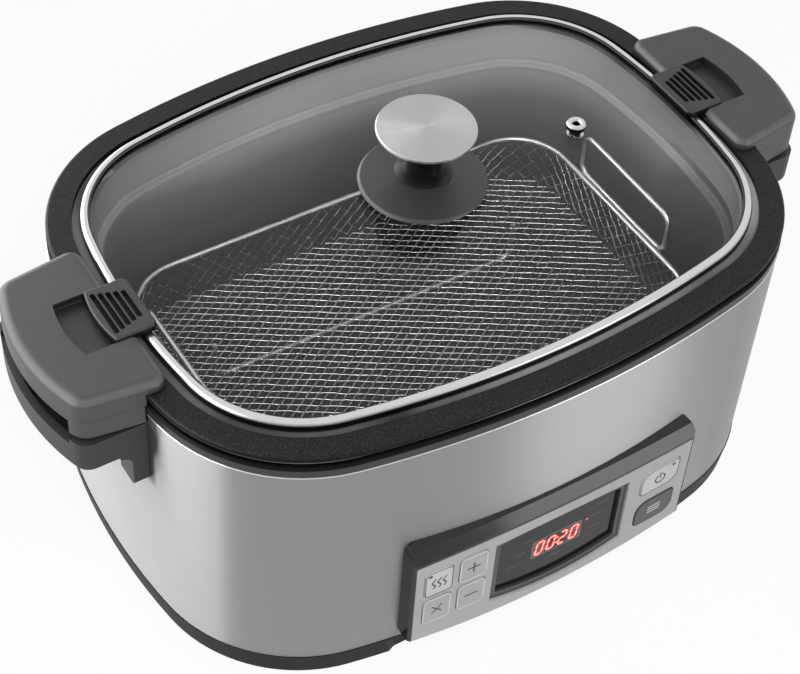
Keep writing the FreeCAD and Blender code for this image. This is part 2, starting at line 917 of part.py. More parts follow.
def pot_shell():
    """Cast pot: flange, lid well, shoulder, rounded floor and a tab for each handle."""
    body = new_body("pot_shell")
    ledge_under = seat_level - d.ledge_thickness
    shoulder_under = shoulder_level - d.pot_wall
    sketch = flat(body, flange_under)
    plan(sketch, d.flange_inset)
    pad(body, sketch, d.flange_thickness)
    round_edges(body, d.flange_round, lambda edge: at_height(flange_top)(edge) or at_height(flange_under)(edge))
    sketch = flat(body, ledge_under)
    plan(sketch, well_inset - d.ledge_wall)
    pad(body, sketch, flange_under - ledge_under)
    sketch = flat(body, shoulder_under)
    plan(sketch, d.pot_upper_inset)
    pad(body, sketch, ledge_under - shoulder_under)
    sketch = flat(body, pot_bottom)
    plan(sketch, d.pot_lower_inset)
    pad(body, sketch, shoulder_under - pot_bottom)
    sketch = flat(body, flange_top)
    plan(sketch, well_inset)
    pocket(body, sketch, d.well_depth)
    sketch = flat(body, seat_level)
    plan(sketch, d.pot_upper_inset + d.pot_wall)
    pocket(body, sketch, d.shoulder_depth)
    sketch = flat(body, shoulder_level)
    plan(sketch, d.pot_lower_inset + d.pot_wall)
    pocket(body, sketch, shoulder_level - pot_inside)
    round_edges(body, d.pot_round - d.pot_wall, at_height(pot_inside))
    round_edges(body, d.pot_round, at_height(pot_bottom))
    round_edges(body, d.shoulder_round, lambda edge: at_height(shoulder_level)(edge) and inner_lower(edge))
    tab_end = d.shell_half_length + d.tab_reach
    for _, sign in SIDES:
        sketch = flat(body, flange_under)
        inner = d.shell_half_length - d.lid_inset / 2
        box_outline(sketch, *sorted((inner * sign, tab_end * sign), key=float), -d.tab_half, d.tab_half)
        pad(body, sketch, d.flange_thickness)
    sketch = flat(body, flange_top)
    for x, y in CORNERS:
        circle(sketch, d.grip_screw_x * x, d.grip_screw_y * y, d.grip_screw_radius + d.slide_gap)
    pocket(body, sketch, d.flange_thickness)


def inner_lower(edge):
    """True for the edges of the shoulder's inner border."""
    reach = float(d.shell_half_length - d.pot_lower_inset - d.pot_wall)
    width = float(d.shell_half_width - d.pot_lower_inset - d.pot_wall)
    middle = edge.valueAt((edge.FirstParameter + edge.LastParameter) / 2)
    limit = 1.0
    return abs(middle.x) < reach + limit and abs(middle.y) < width + limit


def lid_rim():
    """Steel band with a groove for the glass."""
    body = new_body("lid_rim")
    sketch = flat(body, rim_bottom)
    plan(sketch, d.lid_inset)
    plan(sketch, d.lid_inset + d.rim_width)
    pad(body, sketch, d.rim_height)
    outer = float(d.shell_half_length - d.lid_inset - d.rim_width)
    levels = (at_height(rim_top), at_height(rim_bottom))

    def outer_border(edge):
        box = edge.BoundBox
        reach = max(abs(box.XMin), abs(box.XMax))
        width = max(abs(box.YMin), abs(box.YMax))
        inside = reach < outer + 0.1 and width < outer - float(d.shell_half_length - d.shell_half_width) + 0.1
        return any(level(edge) for level in levels) and not inside
    round_edges(body, d.rim_round, outer_border)
    sketch = flat(body, rim_top - d.rim_sheet)
    plan(sketch, d.lid_inset + d.rim_sheet)
    pocket(body, sketch, d.rim_height - 2 * d.rim_sheet)


def dome(body, kind, low):
    """Loft of shrinking outlines whose height follows a parabola, from a low level upwards."""
    inset = d.lid_inset + d.rim_sheet + d.fit_gap + d.glass_flat
    sections = []
    for share in (1.0, 0.86, 0.68, 0.46, 0.2):
        sketch = flat(body, low + d.dome_rise * (1.0 - share * share))
        plan(sketch, inset, share)
        sections.append(sketch)
    loft = body.newObject(f"PartDesign::{kind}", "Dome")
    loft.Profile = sections[0]
    loft.Sections = sections[1:]
    loft.Ruled = False
    return loft


def lid_glass():
    """Domed glass with a flat edge, a hole for the knob's screw and one for the vent."""
    body = new_body("lid_glass")
    sketch = flat(body, glass_edge_bottom)
    plan(sketch, d.lid_inset + d.rim_sheet + d.fit_gap)
    pad(body, sketch, d.glass_thickness)
    dome(body, "AdditiveLoft", glass_edge_top)
    dome(body, "SubtractiveLoft", glass_edge_bottom)
    sketch = flat(body, glass_edge_top + d.dome_rise)
    circle(sketch, 0.0, 0.0, d.knob_screw_radius + d.slide_gap)
    circle(sketch, d.vent_hole_x, 0.0, d.vent_tube_radius + d.fit_gap)
    pocket(body, sketch)


def dome_height(x):
    """Height of the glass's upper face on the X axis."""
    reach = d.shell_half_length - d.lid_inset - d.rim_sheet - d.fit_gap - d.glass_flat
    share = x / reach
    return glass_edge_top + d.dome_rise * (1.0 - share * share)


def steam_vent():
    """Steel eyelet clinched in the glass."""
    body = new_body("steam_vent")
    sketch = new_sketch(body, "XZ_Plane", 0.0, d.vent_hole_x)
    above = dome_height(d.vent_hole_x) + d.vent_bore_radius / 4
    below = dome_height(d.vent_hole_x) - d.glass_thickness - d.vent_bore_radius / 4
    top = above + d.vent_rise
    step = d.vent_rise / 4
    corners = [
        (d.vent_bore_radius, below - step), (d.vent_flange_radius - step, below - step),
        (d.vent_flange_radius - step, below), (d.vent_tube_radius, below), (d.vent_tube_radius, above),
        (d.vent_flange_radius, above), (d.vent_flange_radius, top - step),
        (d.vent_flange_radius - step, top), (d.vent_bore_radius + step, top), (d.vent_bore_radius, top - step),
    ]
    outline(sketch, corners)
    revolve(body, sketch)


def knob():
    """Disc, flared stem, steel cap and the screw that holds them to the glass."""
    disc_low = glass_edge_top + d.dome_rise * 0.96
    disc_top = disc_low + d.knob_disc_height
    stem_top = disc_top + d.stem_height
    bore = d.knob_screw_radius + d.fit_gap
    body = new_body("knob_base")
    sketch = front(body)
    edge = d.knob_disc_radius
    corners = [
        (bore, disc_low), (edge - d.knob_disc_edge, disc_low), (edge, disc_low + d.knob_disc_edge / 2),
        (edge - d.knob_disc_edge / 2, disc_low + d.knob_disc_edge + d.fit_gap),
        (d.stem_foot_radius, disc_top), (bore, disc_top),
    ]
    outline(sketch, corners, {1: d.knob_disc_edge, 2: d.knob_disc_edge})
    revolve(body, sketch)
    body = new_body("knob_stem")
    sketch = front(body)
    foot_top = disc_top + d.stem_foot_height
    corners = [
        (bore, disc_top), (d.stem_foot_radius, disc_top), (d.stem_foot_radius, foot_top),
        (d.stem_waist_radius, foot_top + d.stem_foot_height), (d.stem_top_radius, stem_top), (bore, stem_top),
    ]
    outline(sketch, corners, {3: -d.stem_height})
    revolve(body, sketch)
    body = new_body("knob_cap")
    sketch = front(body)
    lip = stem_top + d.cap_edge
    corners = [
        (0.0, stem_top), (d.cap_radius - d.cap_lip, stem_top), (d.cap_radius, stem_top + d.cap_lip),
        (d.cap_radius, lip), (d.cap_radius - d.cap_lip / 2, lip + d.cap_lip / 4), (0.0, lip + d.cap_crown),
    ]
    outline(sketch, corners, {1: d.cap_lip * 1.2})
    revolve(body, sketch)
    under_glass = disc_low - d.glass_thickness - d.rest_gap
    head_low = under_glass - d.knob_screw_head_height
    place = (0.0, 0.0, head_low)
    single("knob_screw", screw(
        "knob_bolt", place, UP, (2, 1), d.knob_screw_head, d.knob_screw_head_height, d.knob_screw_radius,
        stem_top - under_glass - d.fit_gap,
    ))


def panel_groove(body, corners, angle=None):
    """Cuts an area, given as depth behind the panel's face and height, round the panel's axis."""
    sketch = new_sketch(body, "YZ_Plane", 0.0, panel_axis)
    outline(sketch, [(depth - d.panel_radius, height) for depth, height in corners])
    groove = body.newObject("PartDesign::Groove", "Groove")
    groove.Profile = sketch
    groove.ReferenceAxis = (sketch, ["V_Axis"])
    groove.Midplane = True
    bind(groove, "Angle", angle or PANEL_SWEEP)


def trim_panel(body, front_depth, back_depth=None):
    """Leaves only what lies between two depths behind the panel's face."""
    low = -FAR
    high = FAR
    ahead = -FAR / 2
    panel_groove(body, [(front_depth, low), (front_depth, high), (ahead, high), (ahead, low)])
    if back_depth is not None:
        behind = FAR / 2
        panel_groove(body, [(behind, low), (behind, high), (back_depth, high), (back_depth, low)])


def panel_bottom(x):
    """Height of the panel's bowed lower edge at a distance from the middle."""
    radius = bow_radius(d.plate_half_width, d.plate_bow)
    return d.plate_low + radius - root(radius * radius - x * x)


def panel_sheet(body, half_width, top, corner):
    """A block with the panel's front outline and rounded upper corners, deep enough to be trimmed."""
    low = panel_bottom(half_width)
    inner = half_width - corner
    below = top - corner
    sketch = front(body, board_front - d.board_thickness)
    corners = [
        (-half_width, low), (half_width, low), (half_width, below),
        (inner, top), (-inner, top), (-half_width, below),
    ]
    outline(sketch, corners, {0: bow_radius(d.plate_half_width, d.plate_bow), 2: corner, 4: corner})
    pad(body, sketch, d.board_depth * 2)


def panel_bezel():
    """Glossy surround with a faceted roof, fitted to the curved shell."""
    body = new_body("panel_bezel")
    half = d.plate_half_width + d.bezel_edge
    face_top = d.plate_top + d.bezel_edge
    roof_top = face_top + d.roof_front_rise + d.roof_back_rise
    panel_sheet(body, half, roof_top, d.bezel_corner)
    deep = d.roof_front_depth + d.roof_back_depth
    panel_groove(body, [
        (0.0, -FAR), (0.0, face_top), (d.roof_front_depth, face_top + d.roof_front_rise), (deep, roof_top),
        (deep, FAR), (-FAR / 2, FAR), (-FAR / 2, -FAR),
    ])
    side_front = panel_axis - root(d.panel_radius * d.panel_radius - half * half)
    round_edges(body, d.bezel_bevel, upright_near((-half, side_front), (half, side_front)), bevel=True)
    sketch = flat(body, FAR)
    plan(sketch, -d.fit_gap / 2)
    pocket(body, sketch)
    sketch = flat(body, base_top + d.fit_gap)
    plan(sketch, -d.base_proud - d.fit_gap)
    pocket(body, sketch)
    recess = d.plate_thickness + d.fit_gap
    panel_groove(body, [
        (recess, -FAR), (recess, d.plate_top + d.fit_gap), (-FAR / 2, d.plate_top + d.fit_gap), (-FAR / 2, -FAR),
    ], swing(d.plate_half_width + d.fit_gap, d.panel_radius))
    sketch = front(body)
    box_outline(sketch, -d.window_half_width, d.window_half_width, d.window_bottom, d.window_top)
    pocket(body, sketch, FAR, reverse=True)
    sketch = front(body)
    display_outline(sketch, -d.fit_gap)
    pocket(body, sketch, FAR, reverse=True)


def display_outline(sketch, inset):
    """The display's barrel shape, moved inwards."""
    half = d.display_half_width - inset
    left = d.display_x - half
    right = d.display_x + half
    low = d.display_bottom + inset
    high = d.display_top - inset
    radius = bow_radius(d.display_half_width, d.display_bow)
    outline(sketch, [(left, low), (right, low), (right, high), (left, high)], {0: radius, 2: radius})


def key_outline(sketch, key, grow=0.0):
    """A key's outline, moved outwards."""
    _, x, z, width, height, radii = key
    half_width = width / 2 + grow
    half_height = height / 2 + grow
    corner_radii = [radius + grow for radius in radii]
    box_outline(sketch, x - half_width, x + half_width, z - half_height, z + half_height, corner_radii)


def panel_face():
    """Curved plate with the display opening, the key holes and bosses for the board."""
    body = new_body("panel_face")
    panel_sheet(body, d.plate_half_width, d.plate_top, d.fit_gap * 3)
    trim_panel(body, 0.0, d.plate_thickness)
    sketch = front(body)
    display_outline(sketch, 0.0)
    pocket(body, sketch, FAR, reverse=True)
    for key in KEYS:
        sketch = front(body)
        key_outline(sketch, key, d.slide_gap)
        pocket(body, sketch, FAR, reverse=True)
    sketch = front(body, board_front)
    for x, z in BOARD_BOSSES:
        circle(sketch, x, z, d.board_boss_radius)
    pad(body, sketch, d.board_depth - d.plate_thickness - d.fit_gap)
    sketch = front(body, board_front)
    for x, z in BOARD_BOSSES:
        circle(sketch, x, z, d.board_screw_radius + d.fit_gap / 2)
    pocket(body, sketch, board_screw_length, reverse=True)


def display():
    """Recessed frame, smoked window and the digit module on the board."""
    body = new_body("display_frame")
    sketch = front(body, board_front)
    display_outline(sketch, d.fit_gap)
    display_outline(sketch, d.frame_width)
    pad(body, sketch, d.board_depth * 2)
    frame_back = d.frame_depth + d.frame_thickness
    trim_panel(body, d.frame_depth, frame_back)
    body = new_body("display_window")
    sketch = front(body, board_front)
    display_outline(sketch, d.lens_overlap)
    pad(body, sketch, d.board_depth * 2)
    lens_front = frame_back + d.fit_gap
    trim_panel(body, lens_front, lens_front + d.lens_thickness)
    body = new_body("led_display")
    sketch = front(body, board_front)
    half = d.led_half_width
    left = d.digit_x - half
    right = d.digit_x + half
    box_outline(sketch, left, right, d.digit_z - d.led_half_height, d.digit_z + d.led_half_height)
    sag = right * right / (2 * d.panel_radius)
    led_depth = d.board_depth - lens_front - d.lens_thickness - d.fit_gap - sag
    pad(body, sketch, led_depth)
    sketch = front(body, board_front + led_depth)
    for place in (-1.5, -0.5, 0.5, 1.5):
        middle = d.digit_x + d.digit_pitch * place
        box_outline(
            sketch, middle - d.digit_width / 2, middle + d.digit_width / 2,
            d.digit_z - d.digit_height / 2, d.digit_z + d.digit_height / 2,
        )
    pocket(body, sketch, d.digit_well)


def control_board():
    """Board behind the panel with its screws and one switch behind each key."""
    body = new_body("control_board")
    sketch = front(body, board_front - d.board_thickness)
    box_outline(sketch, -d.board_half_width, d.board_half_width + d.key_lip, d.board_bottom, d.board_top)
    for x, z in BOARD_BOSSES:
        circle(sketch, x, z, d.board_screw_radius + d.fit_gap)
    pad(body, sketch, d.board_thickness)
    screws = []
    head_back = -(board_front - d.board_thickness - d.board_screw_head_height)
    for index, (x, z) in enumerate(BOARD_BOSSES):
        screws.append(screw(
            f"board_screw_{index}", (x, head_back, z), TO_FRONT, (1, -1), d.board_screw_head,
            d.board_screw_head_height, d.board_screw_radius, board_screw_length + d.board_thickness - d.fit_gap,
        ))
    group("board_screws", screws)
    switches = []
    half = d.switch_size / 2
    for name, x, z, *_ in KEYS:
        case = simple(
            "Box", f"switch_{name}", (x - half, -board_front - d.switch_height, z - half),
            Length=d.switch_size, Width=d.switch_height, Height=d.switch_size,
        )
        plunger = simple(
            "Cylinder", f"plunger_{name}", (x, -board_front, z), TO_FRONT, Radius=d.plunger_radius,
            Height=key_back - board_front - d.key_travel - d.fit_gap,
        )
        switches.append(joined(f"switch_set_{name}", [case, plunger]))
    group("tact_switches", switches)


def keys():
    """One moulded key for each function, with a lip behind the panel."""
    for key in KEYS:
        body = new_body(f"key_{key[0]}")
        sketch = front(body, key_back)
        key_outline(sketch, key)
        pad(body, sketch, d.board_depth)
        trim_panel(body, -d.key_proud)
        sketch = front(body, key_back)
        key_outline(sketch, key, d.key_lip)
        pad(body, sketch, d.key_lip_depth)


def power_section():
    """Power board in the base with its relay and transformer."""
    floor_top = d.foot_height + d.base_floor
    level = floor_top + d.power_board_lift
    left = d.power_board_x - d.power_board_length / 2
    single("power_board", simple(
        "Box", "power_sheet", (left, -d.power_board_width / 2, level), Length=d.power_board_length,
        Width=d.power_board_width, Height=d.board_thickness,
    ))
    top = level + d.board_thickness
    quarter = d.power_board_length / 4
    single("relay", simple(
        "Box", "relay_case", (d.power_board_x - quarter - d.relay_length / 2, -d.relay_width / 2, top),
        Length=d.relay_length, Width=d.relay_width, Height=d.relay_height,
    ))
    single("transformer", simple(
        "Box", "transformer_case",
        (d.power_board_x + quarter - d.transformer_length / 2, -d.transformer_width / 2, top),
        Length=d.transformer_length, Width=d.transformer_width, Height=d.transformer_height,
    ))


def mains_inlet():
    """Surround on the back of the shell, the appliance inlet in it and its three pins."""
    body = new_body("inlet_surround")
    sketch = front(body, -panel_front)
    half = d.surround_half_width
    low = d.inlet_z - d.surround_half_height
    high = d.inlet_z + d.surround_half_height
    box_outline(sketch, -half, half, low, high, [d.surround_round] * 4)
    pad(body, sketch, d.panel_proud * 2)
    round_edges(body, d.panel_proud / 3, lambda edge: abs(edge.BoundBox.YMin - float(panel_front)) < 1e-4)
    sketch = flat(body, FAR)
    plan(sketch, -d.fit_gap / 2)
    pocket(body, sketch)
    gap = d.fit_gap
    sketch = front(body)
    box_outline(
        sketch, -d.socket_half_width - gap, d.socket_half_width + gap,
        d.inlet_z - d.socket_half_height - gap, d.inlet_z + d.socket_half_height + gap,
    )
    pocket(body, sketch, FAR)
    body = new_body("inlet_socket")
    mouth = panel_front - d.socket_recess
    sketch = front(body, -mouth)
    box_outline(
        sketch, -d.socket_half_width, d.socket_half_width,
        d.inlet_z - d.socket_half_height, d.inlet_z + d.socket_half_height,
    )
    pad(body, sketch, d.socket_depth)
    sketch = front(body, -mouth)
    wide = d.socket_half_width - d.socket_wall
    tall = d.socket_half_height - d.socket_wall
    box_outline(sketch, -wide, wide, d.inlet_z - tall, d.inlet_z + tall, [d.socket_wall] * 4)
    pocket(body, sketch, d.socket_cavity, reverse=True)
    pins = []
    floor_y = mouth - d.socket_cavity
    for index, (x, z) in enumerate(((-1, 1), (0, -1), (1, 1))):
        place = (
            d.pin_spread * x - d.pin_width / 2, floor_y,
            d.inlet_z + d.pin_offset * z - d.pin_height / 2,
        )
        pins.append(simple(
            "Box", f"pin_{index}", place, Length=d.pin_width, Width=d.pin_length, Height=d.pin_height,
        ))
    group("inlet_pins", pins)


def housing_handle(name, sign):
    """Tray-shaped carrying handle with two legs screwed to the shell's end."""
    body = new_body(f"housing_handle_{name}")
    reach = d.shell_half_length + d.tray_reach
    corner = reach - d.tray_sag
    half = d.tray_half_width
    inner = d.shell_half_length - d.tray_wall
    tray_top = d.tray_bottom + d.tray_height
    sketch = flat(body, d.tray_bottom)
    arch_outline(sketch, sign, inner, corner, half, d.tray_sag)
    pad(body, sketch, d.tray_height)
    round_edges(body, d.tray_corner, upright_near((corner * sign, half), (corner * sign, -half)))
    round_edges(body, d.tray_edge_round, outside(at_height(d.tray_bottom), reach - d.tray_reach))
    sketch = flat(body, tray_top)
    wall = d.tray_wall
    mount_face = d.shell_half_length + d.mount_thickness
    arch_outline(sketch, sign, mount_face, corner - wall, half - wall, d.tray_sag)
    pocket(body, sketch, d.tray_height - wall)
    sketch = flat(body, tray_top)
    ends = sorted((mount_face * sign, (reach + wall) * sign), key=float)
    box_outline(sketch, *ends, -d.tray_dip_half, d.tray_dip_half)
    pocket(body, sketch, d.tray_dip)
    leg_bottom = d.tray_bottom - d.mount_leg_drop
    sketch = flat(body, leg_bottom)
    ends = sorted((inner * sign, mount_face * sign), key=float)
    box_outline(sketch, *ends, -half, half)
    pad(body, sketch, d.mount_leg_drop + d.tray_wall)
    root_low = d.tray_bottom - d.mount_root_round
    root_high = d.tray_bottom + d.tray_edge_round
    root_outer = (mount_face + d.mount_root_round) * sign
    root_inner = (mount_face - d.mount_thickness / 2) * sign
    corners = [
        (mount_face * sign, root_low), (root_outer, d.tray_bottom), (root_outer, root_high), (root_inner, root_high),
        (root_inner, root_low),
    ]
    sketch = front(body, half)
    outline(sketch, corners, {0: -d.mount_root_round * sign})
    pad(body, sketch, half * 2, reverse=True)
    sketch = new_sketch(body, "YZ_Plane")
    arch_half = half - d.mount_leg
    arch_top = leg_bottom + d.mount_arch_rise
    square = d.fit_gap
    corner_radii = [square, square, d.mount_arch_round, d.mount_arch_round]
    box_outline(sketch, -arch_half, arch_half, leg_bottom - d.mount_leg, arch_top, corner_radii)
    pocket(body, sketch, symmetric=True)
    round_edges(body, d.mount_tip_round, leg_tips(leg_bottom, half))
    sketch = flat(body, FAR)
    plan(sketch, -d.fit_gap / 2)
    pocket(body, sketch)
    sketch = new_sketch(body, "YZ_Plane")
    for side in (-1, 1):
        circle(sketch, handle_screw_y * side, handle_screw_z, d.handle_screw_radius + d.fit_gap / 2)
    pocket(body, sketch, d.shell_half_length + d.handle_screw_bite, reverse=sign > 0)


def leg_tips(height, distance):
    """Chooses edges along X at a height, so far from the middle along Y."""
    place = float(distance)
    level = at_height(height)

    def across(edge):
        box = edge.BoundBox
        return level(edge) and abs(abs(box.Center.y) - place) < 0.05 and box.YLength < 0.05
    return across


def arch_outline(sketch, sign, inner, corner, half, sag):
    """Rectangle whose outer end bulges, on the left or the right side."""
    radius = bow_radius(half, sag)
    corners = [(inner * sign, -half), (corner * sign, -half), (corner * sign, half), (inner * sign, half)]
    outline(sketch, corners, {1: radius * sign})


def outside(chosen, limit):
    """Narrows a choice of edges to those beyond a distance along X."""
    reach = float(limit)

    def further(edge):
        box = edge.BoundBox
        return chosen(edge) and min(abs(box.XMin), abs(box.XMax)) > reach
    return further


def handle_screws():
    """Screws from inside the shell into the carrying handles' legs."""
    screws = []
    for name, sign in SIDES:
        turn = TO_RIGHT if sign > 0 else TO_LEFT
        for side in (-1, 1):
            y = handle_screw_y * side
            length = d.handle_screw_bite + d.mount_thickness
            head = d.shell_half_length + d.handle_screw_bite - d.fit_gap - length - d.handle_screw_head_height
            screws.append(screw(
                f"handle_screw_{name}_{side + 1}", (head * sign, y, handle_screw_z), turn, (0, sign),
                d.handle_screw_head, d.handle_screw_head_height, d.handle_screw_radius, length,
            ))
    group("handle_screws", screws)


def grip_outline(sketch, sign):
    """Plan of a pot handle: tapered sides and a bulging outer end."""
    corners = [
        (d.grip_inner_x * sign, -d.grip_inner_half), (d.grip_corner_x * sign, -d.grip_corner_half),
        (d.grip_corner_x * sign, d.grip_corner_half), (d.grip_inner_x * sign, d.grip_inner_half),
    ]
    outline(sketch, corners, {1: bow_radius(d.grip_corner_half, d.grip_sag) * sign})


def round_grip(body, sign):
    """Rounds the four upright corners of a pot handle."""
    outer = [(d.grip_corner_x * sign, d.grip_corner_half * side) for side in (-1, 1)]
    inner = [(d.grip_inner_x * sign, d.grip_inner_half * side) for side in (-1, 1)]
    round_edges(body, d.grip_outer_corner, upright_near(*outer))
    round_edges(body, d.grip_inner_corner, upright_near(*inner))


def pot_handle_cover(name, sign):
    """Upper half of a pot handle with the latch's recess and its side slots."""
    body = new_body(f"pot_handle_cover_{name}")
    sketch = flat(body, d.grip_split)
    grip_outline(sketch, sign)
    pad(body, sketch, d.grip_top - d.grip_split)
    round_grip(body, sign)
    round_edges(body, d.grip_top_round, at_height(d.grip_top))
    roof = flange_top + d.fit_gap
    sketch = flat(body, d.grip_split)
    plan(sketch)
    pocket(body, sketch, roof - d.grip_split, reverse=True)
    sketch = flat(body, d.grip_split)
    tab_end = d.shell_half_length + d.tab_reach + d.slide_gap
    tab_half = d.tab_half + d.slide_gap
    box_outline(sketch, *sorted((d.grip_inner_x * sign, tab_end * sign), key=float), -tab_half, tab_half)
    pocket(body, sketch, roof - d.grip_split, reverse=True)
    half = d.latch_half + d.slide_gap
    stop = d.latch_outer_x + d.latch_travel + d.latch_stop_gap
    sketch = flat(body, d.grip_top)
    arch_outline(sketch, sign, d.latch_inner_x, stop, half, d.recess_bow)
    pocket(body, sketch, d.grip_top - d.latch_floor)
    slot_top = d.latch_floor + d.latch_wing_height + 2 * d.slide_gap
    sketch = flat(body, slot_top)
    wide = half + d.latch_wing
    box_outline(sketch, *sorted((d.latch_inner_x * sign, stop * sign), key=float), -wide, wide)
    pocket(body, sketch, slot_top - d.latch_floor)
    sketch = flat(body, d.grip_split)
    for side in (-1, 1):
        circle(sketch, d.grip_screw_x * sign, d.grip_screw_y * side, d.grip_screw_radius + d.fit_gap / 2)
    pocket(body, sketch, roof - d.grip_split + d.grip_screw_bite / 2, reverse=True)


def pot_handle_base(name, sign):
    """Lower half of a pot handle with a finger recess, clamped under the pot's tab."""
    body = new_body(f"pot_handle_base_{name}")
    sketch = flat(body, d.grip_bottom)
    grip_outline(sketch, sign)
    pad(body, sketch, d.grip_split - d.grip_bottom - d.fit_gap)
    round_grip(body, sign)
    round_edges(body, d.grip_under_round, at_height(d.grip_bottom))
    sketch = flat(body, FAR)
    plan(sketch, -d.grip_shell_gap)
    pocket(body, sketch)
    sketch = flat(body, d.grip_bottom)
    far_end = d.grip_corner_x + d.grip_sag * 2
    low, high = sorted((d.finger_inner_x * sign, far_end * sign), key=float)
    radius = d.grip_inner_corner
    square = d.fit_gap
    radii = [radius, square, square, radius] if sign > 0 else [square, radius, radius, square]
    box_outline(sketch, low, high, -d.finger_half, d.finger_half, radii)
    pocket(body, sketch, d.finger_rise, reverse=True)
    sketch = flat(body, d.grip_split - d.fit_gap)
    clamp_inner = d.shell_half_length + 2 * d.grip_shell_gap
    clamp_outer = d.shell_half_length + d.tab_reach - d.fit_gap
    ends = sorted((clamp_inner * sign, clamp_outer * sign), key=float)
    box_outline(sketch, *ends, -d.tab_half, d.tab_half)
    pad(body, sketch, flange_under - d.grip_split)
    for radius, length in ((d.grip_screw_head, d.grip_screw_sink), (d.grip_screw_radius, FAR / 2)):
        sketch = flat(body, d.grip_bottom)
        for side in (-1, 1):
            circle(sketch, d.grip_screw_x * sign, d.grip_screw_y * side, radius + d.fit_gap)
        pocket(body, sketch, length, reverse=True)


def pot_handle_screws():
    """Screws up through the handle bases and the pot's tabs into the covers."""
    screws = []
    head_low = d.grip_bottom + d.grip_screw_sink - d.grip_screw_head_height
    length = flange_top + d.grip_screw_bite / 2 - d.grip_bottom - d.grip_screw_sink - d.fit_gap
    for index, (x, y) in enumerate(CORNERS):
        place = (d.grip_screw_x * x, d.grip_screw_y * y, head_low - d.fit_gap)
        screws.append(screw(
            f"grip_screw_{index}", place, UP, (2, 1), d.grip_screw_head, d.grip_screw_head_height,
            d.grip_screw_radius, length,
        ))
    group("pot_handle_screws", screws)


def latch(name, sign):
    """Sliding latch: a ribbed slab over the lid's rim on a foot with wings in the handle's slots."""
    body = new_body(f"latch_{name}")
    slab_low = rim_top + d.slide_gap
    sketch = flat(body, slab_low)
    back = d.latch_outer_x - d.recess_bow
    arch_outline(sketch, sign, d.latch_inner_x, back, d.latch_half, d.recess_bow)
    pad(body, sketch, d.latch_top - slab_low)
    noses = [(d.latch_inner_x * sign, d.latch_half * side) for side in (-1, 1)]
    round_edges(body, d.latch_nose_bevel, upright_near(*noses), bevel=True)
    round_edges(body, d.slide_gap * 3, at_height(d.latch_top))
    sketch = flat(body, d.latch_top)
    middle = d.rib_groove / 2
    for step in range(5):
        x = d.rib_start + d.rib_pitch * step
        ends = sorted(((x - middle) * sign, (x + middle) * sign), key=float)
        half = d.rib_half + d.rib_grow * step
        box_outline(sketch, *ends, -half, half, [middle - d.fit_gap] * 4)
    pocket(body, sketch, d.rib_depth)
    foot_low = d.latch_floor + d.slide_gap
    sketch = flat(body, foot_low)
    ends = sorted((d.latch_foot_x * sign, back * sign), key=float)
    box_outline(sketch, *ends, -d.latch_half, d.latch_half)
    pad(body, sketch, slab_low - foot_low)
    sketch = flat(body, foot_low)
    wide = d.latch_half + d.latch_wing
    box_outline(sketch, *ends, -wide, wide)
    pad(body, sketch, d.latch_wing_height)


def bent_wire(points, bend, radius, closed=False):
    """Round wire along straight runs joined by tangent arcs of one bend radius."""
    edges = []
    count = len(points)
    trims = {}
    corners = range(count) if closed else range(1, count - 1)
    for index in corners:
        here = points[index]
        back = (points[index - 1] - here).normalize()
        ahead = (points[(index + 1) % count] - here).normalize()
        half_turn = (math.pi - back.getAngle(ahead)) / 2
        trim = bend * math.tan(half_turn)
        middle = (back + ahead).normalize()
        depth = bend / math.cos(half_turn) - bend
        trims[index] = (here + back * trim, here + middle * depth, here + ahead * trim)
    runs = range(count) if closed else range(count - 1)
    for index in runs:
        following = (index + 1) % count
        start = trims[index][2] if index in trims else points[index]
        end = trims[following][0] if following in trims else points[following]
        edges.append(Part.LineSegment(start, end).toShape())
        if following in trims:
            edges.append(Part.Arc(*trims[following]).toShape())
    path = Part.Wire(edges)
    start = edges[0].Vertexes[0].Point
    direction = edges[0].tangentAt(edges[0].FirstParameter)
    section = Part.Wire([Part.makeCircle(radius, start, direction)])
    return path.makePipeShell([section], True, False)


def basket_wires():
    """Rim, end handles and runners of the basket."""
    wire = float(d.basket_wire)
    length = float(d.basket_half_length)
    width = float(d.basket_half_width)
    rim_z = float(d.basket_rim_z)
    bend = float(d.basket_bend)
    rim = [Vector(length * x, width * y, rim_z) for x, y in CORNERS]
    fixed_shape("basket_rim", bent_wire(rim, float(d.basket_corner), wire, closed=True))
    half = float(d.basket_handle_half)
    top = rim_z + float(d.basket_handle_rise)
    for name, sign in SIDES:
        x = (length + 2 * wire + float(d.fit_gap) / 2) * sign
        loop = [Vector(x, -half, rim_z), Vector(x, -half, top), Vector(x, half, top), Vector(x, half, rim_z)]
        fixed_shape(f"basket_handle_{name}", bent_wire(loop, bend, wire, closed=True))
    runners = []
    reach = float(d.runner_half)
    foot_z = float(pot_inside + d.rest_gap) + wire
    for side in (-1, 1):
        y = float(d.runner_y) * side
        floor = float(basket_floor_z)
        path = [Vector(-reach, y, floor), Vector(-reach, y, foot_z), Vector(reach, y, foot_z), Vector(reach, y, floor)]
        runners.append(bent_wire(path, bend, wire))
    fixed_shape("basket_feet", Part.makeCompound(runners))


